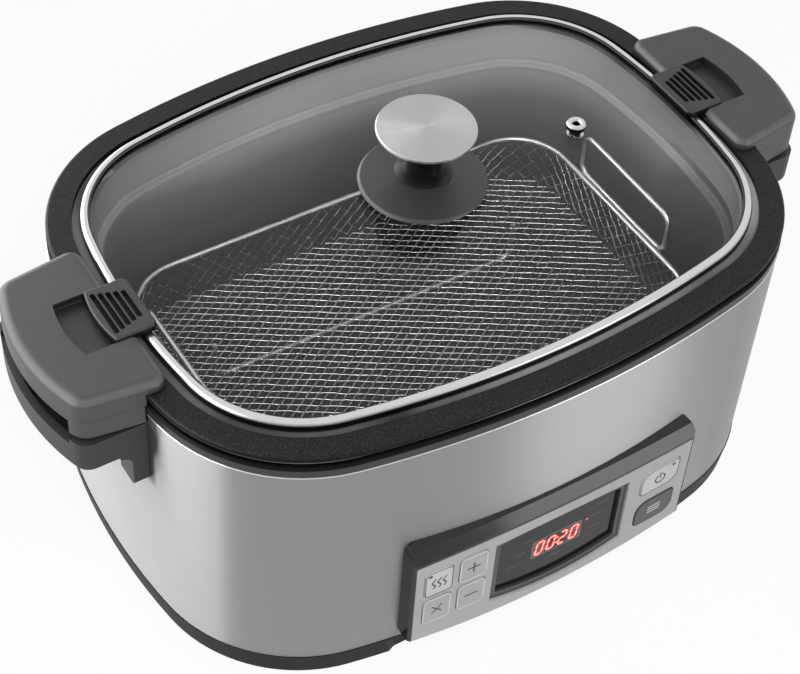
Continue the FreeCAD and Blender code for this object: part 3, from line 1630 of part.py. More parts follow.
def diamond_gaps(half_length, half_width, inside):
    """Diamond holes of an expanded mesh, in two staggered sets, where inside(x, y) is true."""
    long_step = float(d.mesh_length)
    short_step = float(d.mesh_width)
    strand = float(d.mesh_strand)
    long_half = long_step / 2 - strand
    short_half = short_step / 2 - strand * short_step / long_step
    holes = []
    rows = int(half_width * 2 / short_step) + 1
    columns = int(half_length / long_step) + 1
    for row in range(-rows, rows + 1):
        shift = long_step / 2 if row % 2 else 0.0
        for column in range(-columns, columns + 1):
            x = column * long_step + shift
            y = row * short_step / 2
            tips = [(x - long_half, y), (x, y - short_half), (x + long_half, y), (x, y + short_half)]
            if all(inside(*tip) for tip in tips):
                corners = [Vector(u, v, 0) for u, v in tips]
                holes.append(Part.makePolygon(corners + corners[:1]))
    return holes


def net(border, holes, thickness):
    """A flat sheet with holes, of a thickness upwards."""
    face = Part.makeFace([border] + holes, "Part::FaceMakerBullseye")
    return face.extrude(Vector(0, 0, thickness))


def basket_panels():
    """Mesh floor, four mesh sides and the four plain rounded corners."""
    sheet_metal = float(d.basket_sheet)
    length = float(d.basket_half_length)
    width = float(d.basket_half_width)
    bend = float(d.basket_corner)
    low = float(basket_floor_z)
    high = float(d.basket_rim_z - d.basket_wire - d.fit_gap / 2)
    gap = float(d.fit_gap)
    margin = float(d.mesh_strand)
    floor_length = length - sheet_metal / 2 - gap
    floor_width = width - sheet_metal / 2 - gap
    floor_bend = bend - sheet_metal / 2 - gap
    border = rounded_border(floor_length, floor_width, floor_bend)

    def on_floor(x, y):
        dx = max(0.0, abs(x) - (floor_length - floor_bend))
        dy = max(0.0, abs(y) - (floor_width - floor_bend))
        return math.hypot(dx, dy) < floor_bend - margin
    floor = net(border, diamond_gaps(floor_length, floor_width, on_floor), sheet_metal)
    floor.translate(Vector(0, 0, low))
    fixed_shape("basket_floor", Part.makeCompound([floor]))
    tall = (high - low) / 2
    spin = Rotation(Vector(1, 0, 0), 90)
    for name, half, distance, turn in (
        ("front", length - bend, width, 0), ("back", length - bend, width, 180),
        ("left", width - bend, length, -90), ("right", width - bend, length, 90),
    ):
        frame = Part.makePolygon([Vector(half * x, tall * y, 0) for x, y in CORNERS + CORNERS[:1]])

        def on_side(x, y, half=half):
            return abs(x) < half - margin and abs(y) < tall - margin
        panel = net(frame, diamond_gaps(half, tall, on_side), sheet_metal)
        panel.Placement = Placement(Vector(0, 0, 0), Rotation(Vector(0, 0, 1), turn)).multiply(
            Placement(Vector(0, -distance + sheet_metal / 2, (low + high) / 2), spin))
        fixed_shape(f"basket_side_{name}", Part.makeCompound([panel]))
    corners = []
    for index, (x, y) in enumerate(CORNERS):
        centre = Vector((length - bend) * x, (width - bend) * y, low)
        turn = Placement(centre, Rotation(Vector(0, 0, 1), 180 + 90 * index))
        outer = Part.makeCylinder(bend + sheet_metal / 2, high - low, Vector(), Vector(0, 0, 1), 90)
        inner = Part.makeCylinder(bend - sheet_metal / 2, high - low, Vector(), Vector(0, 0, 1), 90)
        corner = outer.cut(inner)
        corner.Placement = turn
        corners.append(corner)
    fixed_shape("basket_corners", Part.makeCompound(corners))


def rounded_border(half_length, half_width, bend):
    """Closed rounded rectangle round the origin."""
    edges = []
    for index, (x, y) in enumerate(CORNERS):
        centre = Vector((half_length - bend) * x, (half_width - bend) * y, 0)
        first = 180 + 90 * index
        edges.append(Part.makeCircle(bend, centre, Vector(0, 0, 1), first, first + 90))
        nx, ny = CORNERS[(index + 1) % 4]
        angle = math.radians(first + 90)
        start = centre + Vector(math.cos(angle), math.sin(angle), 0) * bend
        following = Vector((half_length - bend) * nx, (half_width - bend) * ny, 0)
        end = following + Vector(math.cos(angle), math.sin(angle), 0) * bend
        edges.append(Part.LineSegment(start, end).toShape())
    return Part.Wire(edges)


# Places and lengths that several of the pieces above share
PANEL_SWEEP = 24.0
skirt_inset = d.shell_sheet + d.fit_gap + d.lip_width
well_inset = d.lid_inset - d.well_gap
liner_inner_inset = d.pot_upper_inset - d.liner_gap
handle_screw_y = d.tray_half_width - d.mount_leg / 2
handle_screw_z = d.tray_bottom - d.mount_leg_drop + d.handle_screw_rise
base_screw_length = d.base_height
board_screw_length = d.board_depth - d.plate_thickness - d.board_screw_head_height * 2
key_back = board_front + d.switch_height + d.key_travel + d.fit_gap * 8
BOARD_BOSSES = tuple(
    (x, z) for x in (d.board_left_boss_x, d.board_right_boss_x)
    for z in (d.board_low_boss_z, d.board_high_boss_z)
)
even = (d.key_round,) * 4
leaf = (d.key_round, d.mode_key_round, d.key_round, d.mode_key_round)
KEYS = (
    ("warm", d.key_outer_x, d.key_upper_z, d.key_width, d.key_height, even),
    ("cancel", d.key_outer_x, d.key_lower_z, d.key_width, d.key_height, even),
    ("plus", d.key_inner_x, d.key_upper_z, d.key_width, d.key_height, even),
    ("minus", d.key_inner_x, d.key_lower_z, d.key_width, d.key_height, even),
    ("power", d.mode_key_x, d.power_key_z, d.mode_key_width, d.mode_key_height, leaf),
    ("menu", d.mode_key_x, d.menu_key_z, d.mode_key_width, d.mode_key_height, leaf),
)

outer_shell()
base_tray()
rubber_feet()
base_screws()
top_collar()
heat_liner()
heater_plate()
heating_element()
sensor_and_fuse()
panel_bezel()
panel_face()
display()
control_board()
keys()
power_section()
mains_inlet()
handle_screws()
pot_shell()
pot_handle_screws()
for side_name, side_sign in SIDES:
    housing_handle(side_name, side_sign)
    pot_handle_cover(side_name, side_sign)
    pot_handle_base(side_name, side_sign)
    latch(side_name, side_sign)
lid_rim()
lid_glass()
steam_vent()
knob()
basket_wires()
basket_panels()

doc.recompute()
failed = [item.Label for item in doc.Objects if {"Invalid", "Error"} & set(item.State)]
failed += [item.Label for item in nodes if item.Shape.isNull() or not item.Shape.isValid()]
if failed:
    raise RuntimeError("failed: " + ", ".join(failed))
os.makedirs("parts", exist_ok=True)
for item in nodes:
    item.Shape.exportStep(f"parts/{item.Label}.step")
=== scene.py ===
"""Looks of the oval slow cooker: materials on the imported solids, printed signs, wire mesh and stage."""
import json
import math

import bpy
from mathutils import Matrix, Vector

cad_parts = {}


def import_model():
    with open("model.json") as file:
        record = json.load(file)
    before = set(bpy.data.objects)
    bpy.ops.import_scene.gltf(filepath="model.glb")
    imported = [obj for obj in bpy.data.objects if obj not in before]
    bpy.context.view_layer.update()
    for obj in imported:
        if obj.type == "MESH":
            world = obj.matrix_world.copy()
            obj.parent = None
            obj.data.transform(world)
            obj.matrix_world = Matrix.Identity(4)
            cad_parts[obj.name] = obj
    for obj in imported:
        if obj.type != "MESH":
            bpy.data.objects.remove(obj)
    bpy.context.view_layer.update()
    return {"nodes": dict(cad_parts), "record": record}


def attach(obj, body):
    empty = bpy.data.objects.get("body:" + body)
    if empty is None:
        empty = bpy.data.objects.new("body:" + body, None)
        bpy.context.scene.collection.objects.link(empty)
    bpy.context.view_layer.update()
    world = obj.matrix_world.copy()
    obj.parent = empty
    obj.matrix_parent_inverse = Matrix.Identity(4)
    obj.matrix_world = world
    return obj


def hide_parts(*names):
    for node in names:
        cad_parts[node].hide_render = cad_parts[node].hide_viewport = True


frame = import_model()
nodes = frame["nodes"]
MM = 0.001
# Grain of moulded plastic: features per metre, depth in metres and strength
GRAIN, RELIEF, STRENGTH = 2200.0, 0.00003, 0.25


class Look:
    """A node material round one Principled shader, with textures placed in the part's own frame."""

    def __init__(self, name, color, roughness, metallic=0.0):
        self.material = bpy.data.materials.new(name)
        self.material.use_nodes = True
        self.tree = self.material.node_tree
        self.shader = self.tree.nodes["Principled BSDF"]
        self.set("Base Color", (*color, 1.0))
        self.set("Roughness", roughness)
        self.set("Metallic", metallic)
        self.place = self.add("ShaderNodeTexCoord").outputs["Object"]

    def set(self, socket, value):
        """Sets or links one of the shader's sockets."""
        target = self.shader.inputs[socket]
        if isinstance(value, bpy.types.NodeSocket):
            self.tree.links.new(value, target)
        else:
            target.default_value = value

    def add(self, kind, values=None, **settings):
        """Adds a node; values are by socket name or number."""
        node = self.tree.nodes.new(kind)
        for key, value in settings.items():
            setattr(node, key, value)
        for key, value in (values or {}).items():
            if isinstance(value, bpy.types.NodeSocket):
                self.tree.links.new(value, node.inputs[key])
            else:
                node.inputs[key].default_value = value
        return node

    def stretched(self, x, y, z):
        """Object coordinates with a scale for each axis."""
        return self.add("ShaderNodeMapping", {"Vector": self.place, "Scale": (x, y, z)}).outputs["Vector"]

    def noise(self, scale, detail=2.0, vector=None):
        """Noise between 0 and 1; scale is in features per metre."""
        values = {"Vector": vector or self.place, "Scale": scale, "Detail": detail}
        return self.add("ShaderNodeTexNoise", values).outputs["Fac"]

    def span(self, factor, low, high, start=0.3, end=0.7):
        """Maps a factor to a range."""
        values = {"Value": factor, "From Min": start, "From Max": end, "To Min": low, "To Max": high}
        return self.add("ShaderNodeMapRange", values).outputs["Result"]

    def shades(self, factor, *stops):
        """Colours along a factor: each stop is its place and its colour."""
        node = self.add("ShaderNodeValToRGB", {"Fac": factor})
        ramp = node.color_ramp
        while len(ramp.elements) < len(stops):
            ramp.elements.new(0.5)
        for element, (place, color) in zip(ramp.elements, stops):
            element.position = place
            element.color = (*color, 1.0)
        return node.outputs["Color"]

    def math(self, operation, first, second=0.0):
        """One arithmetic node."""
        return self.add("ShaderNodeMath", {0: first, 1: second}, operation=operation).outputs[0]

    def axes(self, vector=None):
        """X, Y and Z of a vector, or of the place in the part's frame."""
        split = self.add("ShaderNodeSeparateXYZ", {"Vector": vector or self.place})
        return [split.outputs[axis] for axis in "XYZ"]

    def upwards(self):
        """How far the surface faces up, from -1 to 1."""
        return self.axes(self.add("ShaderNodeNewGeometry").outputs["Normal"])[2]

    def mix(self, factor, color, shade):
        """A colour mixed with a grey."""
        values = {0: factor, 6: color, 7: (*grey(shade), 1.0)}
        return self.add("ShaderNodeMix", values, data_type="RGBA").outputs[2]

    def blend(self, factor, shader):
        """Shows another shader instead of the Principled one where the factor is 1."""
        values = {0: factor, 1: self.shader.outputs[0], 2: shader.outputs[0]}
        surface = self.tree.nodes["Material Output"].inputs["Surface"]
        self.tree.links.new(self.add("ShaderNodeMixShader", values).outputs[0], surface)

    def bump(self, height, strength, depth):
        """Relief of a depth in metres."""
        values = {"Height": height, "Strength": strength, "Distance": depth}
        self.set("Normal", self.add("ShaderNodeBump", values).outputs["Normal"])


def grey(value, warm=0.0):
    """A grey, a little warmer if asked."""
    return (value + warm, value + warm * 0.3, value)


def lighter(color, share):
    """A colour made lighter, or darker with a share below one."""
    return tuple(min(1.0, channel * share) for channel in color)


def brushed(name, color, rough, scales, depth=0.000004, across=0.0, contrast=0.05):
    """Brushed metal whose lines lie along the axes with a small scale; across spreads its gloss over them."""
    spread = 0.04
    across_turn = 0.25
    look = Look(name, color, rough, 1.0)
    lines = look.noise(1.0, 6.0, look.stretched(*scales))
    cloud = look.noise(7.0, 2.0)
    dark = lighter(color, 1.0 - contrast)
    look.set("Base Color", look.shades(lines, (0.3, dark), (0.7, lighter(color, 1.0 + contrast))))
    streaks = look.span(lines, rough - spread, rough + spread)
    look.set("Roughness", look.math("ADD", streaks, look.span(cloud, -0.015, 0.015)))
    look.bump(lines, 0.2, depth)
    if across:
        tangent = look.add("ShaderNodeTangent", direction_type="RADIAL", axis="Z")
        look.set("Tangent", tangent.outputs["Tangent"])
        look.set("Anisotropic", across)
        look.set("Anisotropic Rotation", across_turn)
    return look.material


def polished(name, color, rough):
    """Bright metal with faint smudges."""
    look = Look(name, color, rough, 1.0)
    cloud = look.noise(60.0, 3.0)
    look.set("Roughness", look.span(cloud, rough * 0.7, rough * 1.5))
    look.set("Base Color", look.shades(cloud, (0.3, lighter(color, 0.94)), (0.7, color)))
    look.bump(look.noise(900.0), 0.05, 0.00001)
    return look.material


def moulded(name, color, rough, grain=GRAIN, relief=RELIEF, strength=STRENGTH, shine=0.5):
    """Moulded plastic with a fine grain and a little wear in its sheen."""
    spread = 0.04
    look = Look(name, color, rough)
    fine = look.noise(grain, 2.0)
    cloud = look.noise(28.0, 3.0)
    look.set("Base Color", look.shades(cloud, (0.25, lighter(color, 0.93)), (0.75, lighter(color, 1.07))))
    sheen = look.span(fine, rough - spread, rough + spread)
    look.set("Roughness", look.math("ADD", sheen, look.span(cloud, -0.03, 0.03)))
    look.bump(fine, strength, relief)
    look.set("Specular IOR Level", shine)
    return look.material


# Painted greys of the pot by its height, from 0 at the floor to 1 at the rim: wall, shoulder, band and the
# lid's well. Painted shade darkens the wall towards the floor, dips the grey at the shoulder's ledge under
# the lighter band, and makes the lid's well black
POT_FLOOR, POT_RIM = 0.040, 0.180
POT_PAINTED_GREYS = (
    (0.0, 0.020), (0.264, 0.055), (0.471, 0.095), (0.621, 0.155), (0.75, 0.33), (0.779, 0.30), (0.796, 0.32),
    (0.807, 0.40), (0.953, 0.40), (0.961, 0.004), (0.98, 0.006), (1.0, 0.006),
)


def pot_coating():
    """Dark coating, speckled and pebbled on the rim and smooth grey inside, with painted shade: darker
    towards the floor and the ends, dimmer to the left in the band, black in the lid's well.
    """
    shoulder_low, shoulder_high, band_low = 0.775, 0.83, 0.77
    look = Look("pot_coating", grey(0.03), 0.42)
    x, y, z = look.axes()
    cloud = look.noise(14.0, 2.0)
    speck = look.noise(1500.0, 1.0)
    height = look.math("ADD", look.span(z, 0.0, 1.0, POT_FLOOR, POT_RIM), look.span(cloud, -0.003, 0.003))
    # Painted shade: the right end's lower wall gets darker towards its front
    right = look.math("MULTIPLY", look.span(x, 0.0, 1.0, 0.10, 0.13), look.span(y, 0.28, 0.0, -0.055, -0.005))
    right = look.math("MULTIPLY", right, look.math("LESS_THAN", height, shoulder_high))
    # Painted shade: the left end's lower wall gets darker
    left = look.span(x, 0.12, 0.0, -0.125, -0.06)
    left = look.math("MULTIPLY", left, look.math("LESS_THAN", height, shoulder_low))
    height = look.math("SUBTRACT", height, look.math("ADD", left, right))
    # Painted shade and painted light by height, from the painted greys
    wall = look.shades(height, *((place, grey(value)) for place, value in POT_PAINTED_GREYS))
    # Painted shade: the band and the rim above it dim towards the left end
    dim = look.span(x, 0.36, 0.0, -0.115, -0.03)
    wall = look.mix(look.math("MULTIPLY", dim, look.math("GREATER_THAN", height, band_low)), wall, 0.0)
    rim = look.span(z, 0.0, 1.0, 0.1755, 0.1768)
    sparkle = look.math("MULTIPLY", look.span(speck, 0.0, 1.0, 0.60, 0.72), rim)
    look.set("Base Color", look.mix(sparkle, wall, 0.06))
    grain = look.math("MULTIPLY", look.span(speck, -0.08, 0.08), rim)
    look.set("Roughness", look.math("ADD", grain, look.span(cloud, 0.44, 0.48)))
    look.set("Specular IOR Level", look.span(rim, 0.08, 0.2, 0.0, 1.0))
    look.bump(look.math("MULTIPLY", speck, rim), 0.6, 0.00015)
    return look.material


def grip_look():
    """Matt handle plastic, with a painted highlight on its rounded edges and painted shade in the latch's
    recess.
    """
    edge_slope = 0.65
    recess_half, recess_end, recess_low, recess_high = 0.0192, 0.2032, 0.1775, 0.1828
    look = Look("grip_plastic", grey(0.047), 0.44)
    x, y, z = look.axes()
    # Painted highlight along the rounded edges, where the surface slopes part way between up and sideways
    tilt = look.math("ABSOLUTE", look.math("SUBTRACT", look.upwards(), edge_slope))
    edge = look.span(tilt, 1.0, 0.0, 0.20, 0.34)
    fine = look.noise(GRAIN, 2.0)
    cloud = look.noise(28.0, 3.0)
    flat = look.shades(cloud, (0.25, grey(0.044)), (0.75, grey(0.050)))
    plain = look.mix(edge, flat, 0.085)
    # Painted shade: dark in the latch's recess
    beside = look.math("LESS_THAN", look.math("ABSOLUTE", y), recess_half)
    along = look.math("LESS_THAN", look.math("ABSOLUTE", x), recess_end)
    below = look.math("LESS_THAN", z, recess_high)
    above = look.math("GREATER_THAN", z, recess_low)
    recess = look.math("MULTIPLY", look.math("MULTIPLY", beside, along), look.math("MULTIPLY", below, above))
    look.set("Base Color", look.mix(recess, plain, 0.012))
    look.set("Roughness", look.math("ADD", look.span(fine, 0.40, 0.48), look.span(cloud, -0.03, 0.03)))
    look.set("Specular IOR Level", 0.5)
    look.bump(fine, STRENGTH, RELIEF)
    return look.material


def collar_look():
    """Collar plastic, painted black as shade in the gap under the pot's rim."""
    gap_low, gap_high = 0.1680, 0.1688
    look = Look("collar_plastic", grey(0.022), 0.36)
    fine = look.noise(GRAIN, 2.0)
    cloud = look.noise(28.0, 3.0)
    # Painted shade: black at the collar's top, in the gap under the pot's rim
    gap = look.span(look.axes()[2], 0.0, 1.0, gap_low, gap_high)
    plain = look.shades(cloud, (0.25, grey(0.020)), (0.75, grey(0.024)))
    look.set("Base Color", look.mix(gap, plain, 0.005))
    look.set("Roughness", look.span(fine, 0.32, 0.40))
    look.set("Specular IOR Level", look.span(gap, 0.4, 0.06, 0.0, 1.0))
    look.bump(fine, STRENGTH, RELIEF)
    return look.material


def latch_look():
    """Latch plastic, darker at the bottom of the grooves between its ribs as painted shade."""
    groove_low, groove_high = 0.1832, 0.1850
    look = Look("latch_plastic", grey(0.022), 0.44)
    fine = look.noise(GRAIN, 2.0)
    # Painted shade: darker the deeper into the grooves
    depth = look.span(look.axes()[2], 0.0, 1.0, groove_low, groove_high)
    look.set("Base Color", look.shades(depth, (0.0, grey(0.006)), (0.5, grey(0.014)), (1.0, grey(0.026))))
    look.set("Roughness", look.span(fine, 0.40, 0.48))
    look.set("Specular IOR Level", look.span(depth, 0.1, 0.5, 0.0, 1.0))
    look.bump(fine, STRENGTH, RELIEF)
    return look.material


def stem_look():
    """Dark gloss on the knob's waist, dull on its foot, which a painted highlight makes lighter."""
    foot_low, foot_high = 0.1992, 0.2016
    look = Look("stem_gloss", grey(0.012), 0.3)
    cloud = look.noise(40.0, 2.0)
    # Painted highlight: the foot is lighter than the waist
    foot = look.span(look.axes()[2], 1.0, 0.0, foot_low, foot_high)
    look.set("Base Color", look.shades(foot, (0.0, grey(0.008)), (0.6, grey(0.014)), (1.0, grey(0.045))))
    look.set("Roughness", look.span(cloud, 0.22, 0.32))
    look.set("Specular IOR Level", look.span(foot, 0.16, 0.4, 0.0, 1.0))
    look.bump(look.noise(1200.0), 0.1, 0.000006)
    return look.material


def rim_look():
    """Polished rim of the lid with painted light: a painted highlight where it faces up, painted shade round
    its outer bend, and dark and dull on the folded edge under the glass.
    """
    fold_low, fold_high = 0.1778, 0.1786
    look = Look("rim_steel", grey(0.66), 0.2, 1.0)
    cloud = look.noise(60.0, 3.0)
    upwards = look.math("ADD", look.upwards(), look.span(cloud, -0.03, 0.03))
    upper = look.span(look.axes()[2], 0.0, 1.0, fold_low, fold_high)
    # Painted highlight where the rim faces up, painted shade where it turns outwards
    bright = look.math("MULTIPLY", look.span(upwards, 0.0, 1.0, 0.15, 0.85), upper)
    look.set("Base Color", look.shades(bright, (0.0, grey(0.03)), (0.5, grey(0.22)), (1.0, grey(0.62))))
    look.set("Roughness", look.span(bright, 0.4, 0.2, 0.0, 1.0))
    return look.material


def clear_glass():
    """Clear glass with a faint gloss that lets light through to the pot."""
    look = Look("lid_glass", grey(0.985), 0.0)
    look.set("Transmission Weight", 1.0)
    look.set("IOR", 1.06)
    look.set("Roughness", look.span(look.noise(40.0, 2.0), 0.0, 0.012))
    look.set("Coat Weight", 0.3)
    look.set("Coat Roughness", 0.02)
    rays = look.add("ShaderNodeLightPath")
    passing = look.math("MAXIMUM", rays.outputs["Is Shadow Ray"], rays.outputs["Is Diffuse Ray"])
    look.blend(passing, look.add("ShaderNodeBsdfTransparent", {"Color": (*grey(0.97), 1.0)}))
    return look.material


def glowing(name, color, strength):
    """Lit display segments and the painted glow round them, a little uneven."""
    look = Look(name, color, 0.4)
    cloud = look.noise(700.0, 2.0)
    look.set("Emission Color", look.shades(cloud, (0.2, lighter(color, 0.85)), (0.8, color)))
    look.set("Emission Strength", strength)
    return look.material


def board_lacquer():
    """Green circuit board with fine copper tracks under the lacquer."""
    lacquer, track = (0.02, 0.15, 0.055), (0.10, 0.30, 0.10)
    pitch = 160.0
    look = Look("board_lacquer", (0.02, 0.16, 0.06), 0.35)
    values = {"Vector": look.stretched(pitch, pitch, pitch), "Mortar Size": 0.03}
    tracks = look.add("ShaderNodeTexBrick", values).outputs["Fac"]
    look.set("Base Color", look.shades(tracks, (0.4, lacquer), (0.6, track)))
    look.bump(tracks, 0.3, 0.00005)
    return look.material


# Finer grain of the panel's face and keys, and of print
FACE_GRAIN = (3500.0, 0.00001, 0.2)
PRINT_GRAIN = 3000.0

LOOKS = {
    "shell_steel": brushed("shell_steel", grey(0.32, 0.003), 0.38, (1.2, 1.2, 2600.0), across=1.0),
    "base_plastic": moulded("base_plastic", grey(0.010), 0.5, shine=0.12),
    "foot_rubber": moulded("foot_rubber", grey(0.02), 0.75, 900.0, 0.00008, 0.5),
    "screw_steel": polished("screw_steel", grey(0.45), 0.3),
    "collar_plastic": collar_look(),
    "liner_metal": brushed("liner_metal", grey(0.45), 0.4, (8.0, 8.0, 900.0)),
    "heater_cast": moulded("heater_cast", grey(0.32), 0.55, 700.0, 0.0001, 0.5),
    "element_steel": brushed("element_steel", grey(0.22, 0.02), 0.45, (300.0, 300.0, 300.0)),
    "sensor_metal": brushed("sensor_metal", grey(0.6), 0.35, (900.0, 20.0, 20.0)),
    "handle_plastic": moulded("handle_plastic", grey(0.022), 0.48, shine=0.42),
    "bezel_gloss": moulded("bezel_gloss", grey(0.010), 0.14, 1200.0, 0.000004, 0.1, shine=0.35),
    "panel_silver": moulded("panel_silver", grey(0.38), 0.42, *FACE_GRAIN),
    "display_frame_dark": moulded("display_frame_dark", grey(0.035), 0.36),
    "display_smoke": moulded("display_smoke", grey(0.009), 0.12, 900.0, 0.000002, 0.05, shine=0.22),
    "led_module": moulded("led_module", (0.03, 0.015, 0.015), 0.6),
    "board_green": board_lacquer(),
    "switch_black": moulded("switch_black", grey(0.03), 0.5),
    "relay_black": moulded("relay_black", grey(0.025), 0.45),
    "transformer_core": brushed("transformer_core", (0.14, 0.11, 0.08), 0.5, (1200.0, 10.0, 10.0)),
    "inlet_black": moulded("inlet_black", grey(0.02), 0.5),
    "pin_brass": polished("pin_brass", (0.78, 0.62, 0.30), 0.25),
    "key_light": moulded("key_light", grey(0.37), 0.40, *FACE_GRAIN),
    "key_dark": moulded("key_dark", grey(0.05), 0.40, *FACE_GRAIN),
    "pot_coating": pot_coating(),
    "grip_plastic": grip_look(),
    "latch_plastic": latch_look(),
    "lid_clear": clear_glass(),
    "rim_steel": rim_look(),
    "knob_plastic": moulded("knob_plastic", grey(0.032), 0.40, shine=0.5),
    "cap_steel": brushed("cap_steel", grey(0.45), 0.36, (260.0, 260.0, 40.0), 0.000002, 0.8, 0.03),
    "basket_steel": polished("basket_steel", grey(0.42, 0.006), 0.36),
    "stem_gloss": stem_look(),
    "key_bright": moulded("key_bright", grey(0.52), 0.36, *FACE_GRAIN),
}
print_dark = moulded("print_dark", grey(0.03), 0.5, PRINT_GRAIN)
print_pale = moulded("print_pale", grey(0.70), 0.45, PRINT_GRAIN)
print_mid = moulded("print_mid", grey(0.26), 0.5, PRINT_GRAIN)
print_faint = moulded("print_faint", grey(0.075), 0.5, PRINT_GRAIN)

look_of = {item["node"]: item["material_slot"] for item in frame["record"]["subparts"]}
look_of.update(key_warm="key_bright", key_power="key_bright", knob_stem="stem_gloss")
for name, node in nodes.items():
    node.data.materials.clear()
    node.data.materials.append(LOOKS[look_of[name]])


def mesh_piece(name, points, faces, material, body, smooth=False):
    """A mesh object that rides on a body."""
    mesh = bpy.data.meshes.new(name)
    mesh.from_pydata([tuple(point) for point in points], [], faces)
    mesh.polygons.foreach_set("use_smooth", [smooth] * len(mesh.polygons))
    mesh.update()
    piece = bpy.data.objects.new(name, mesh)
    bpy.context.scene.collection.objects.link(piece)
    mesh.materials.append(material)
    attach(piece, body)
    return piece


# Control panel in millimetres: its faces lie on upright cylinders about one axis
PANEL_RADIUS = 1400.0
PANEL_FRONT = 147.8
PANEL_AXIS = PANEL_RADIUS - PANEL_FRONT
PRINT_THICKNESS = 0.05
KEY_PROUD = 0.62
WINDOW_PROUD = -3.38
KEY_OUTER_X, KEY_INNER_X, MODE_KEY_X = -73.5, -53.0, 67.0
KEY_UPPER_Z, KEY_LOWER_Z = 67.0, 43.5
POWER_KEY_Z, MENU_KEY_Z = 65.8, 39.5
# Each key's width, height and corner radii from its lower left corner
SMALL_KEY = (16.5, 20.0, (3.0, 3.0, 3.0, 3.0))
LEAF_KEY = (26.0, 18.5, (3.0, 8.0, 3.0, 8.0))


def panel_point(x, z, proud):
    """A point on the panel's curve, so many millimetres before its face."""
    radius = PANEL_RADIUS + proud
    return Vector((x, PANEL_AXIS - math.sqrt(radius * radius - x * x), z)) * MM


def stroke(path, width, closed=False):
    """Outline of a line of some width along a flat path: quads as lists of four points."""
    quads = []
    count = len(path)
    steps = count if closed else count - 1
    for index in range(steps):
        a = Vector(path[index])
        b = Vector(path[(index + 1) % count])
        along = (b - a).normalized() * width / 2
        across = Vector((-along.y, along.x))
        a = a - along
        b = b + along
        quads.append([a - across, b - across, b + across, a + across])
    return quads


def arc_path(x, z, radius, first, last, steps=14):
    """Points along an arc, angles in degrees."""
    turns = [math.radians(first + (last - first) * step / steps) for step in range(steps + 1)]
    return [(x + radius * math.cos(turn), z + radius * math.sin(turn)) for turn in turns]


def disc(x, z, radius):
    """A filled circle as one polygon."""
    return [[Vector(point) for point in arc_path(x, z, radius, 0, 345, 23)]]


def printed(name, polygons, proud, material, body):
    """Flat shapes laid on the panel's curve with a hair's thickness."""
    points = []
    faces = []
    for polygon in polygons:
        start = len(points)
        count = len(polygon)
        for level in (proud + PRINT_THICKNESS, proud):
            points += [panel_point(point.x, point.y, level) for point in polygon]
        faces.append(tuple(range(start, start + count)))
        for index in range(count):
            after = (index + 1) % count
            faces.append((start + index, start + count + index, start + count + after, start + after))
    return mesh_piece(name, points, faces, material, body)


def key_frame(x, z, width, height, radii, inset):
    """Rounded outline inside a key's edge, from its lower left corner."""
    path = []
    places = ((-1, -1, 180), (1, -1, 270), (1, 1, 0), (-1, 1, 90))
    for (right, up, first), radius in zip(places, radii):
        bend = radius - inset
        middle_x = x + right * (width / 2 - radius)
        middle_z = z + up * (height / 2 - radius)
        path += arc_path(middle_x, middle_z, bend, first, first + 90, 6)
    return path


def key_edges():
    """A thin outline on each key."""
    inset, line = 0.45, 0.5
    edges = (
        ("warm", KEY_OUTER_X, KEY_UPPER_Z, SMALL_KEY, print_dark),
        ("cancel", KEY_OUTER_X, KEY_LOWER_Z, SMALL_KEY, print_pale),
        ("plus", KEY_INNER_X, KEY_UPPER_Z, SMALL_KEY, print_pale),
        ("minus", KEY_INNER_X, KEY_LOWER_Z, SMALL_KEY, print_pale),
        ("power", MODE_KEY_X, POWER_KEY_Z, LEAF_KEY, print_dark),
        ("menu", MODE_KEY_X, MENU_KEY_Z, LEAF_KEY, print_dark),
    )
    for name, x, z, (width, height, radii), material in edges:
        edge = stroke(key_frame(x, z, width, height, radii, inset), line, closed=True)
        printed(f"frame_{name}", edge, KEY_PROUD, material, f"key_{name}")


def warm_sign(x, z):
    """Three rising waves."""
    swing, turn, climb, drop, steps, line = 0.9, 0.62, 0.62, 4.0, 12, 0.8
    waves = []
    for shift in (-3.2, 0.0, 3.2):
        wave = []
        for step in range(steps + 1):
            wave.append((x + shift + swing * math.sin(step * turn), z - drop + climb * step))
        waves += stroke(wave, line)
    return waves


def cross_sign(x, z):
    """Two crossing lines."""
    half, line = 2.6, 0.8
    falling = stroke([(x - half, z + half), (x + half, z - half)], line)
    return stroke([(x - half, z - half), (x + half, z + half)], line) + falling


def minus_sign(x, z):
    """One level line."""
    half, line = 3.4, 0.9
    return stroke([(x - half, z), (x + half, z)], line)


def plus_sign(x, z):
    """A level line and an upright one."""
    half, line = 3.4, 0.9
    return minus_sign(x, z) + stroke([(x, z - half), (x, z + half)], line)


def power_sign(x, z):
    """An open ring with an upright line in its gap."""
    radius, first, last, steps, low, high, line = 3.2, 125, 415, 22, 0.8, 4.4, 0.8
    open_ring = stroke(arc_path(x, z, radius, first, last, steps), line)
    return open_ring + stroke([(x, z + low), (x, z + high)], line)


def menu_sign(x, z):
    """Three level lines."""
    half, line = 4.0, 0.7
    rows = []
    for shift in (-2.2, 0.0, 2.2):
        rows += stroke([(x - half, z + shift), (x + half, z + shift)], line)
    return rows


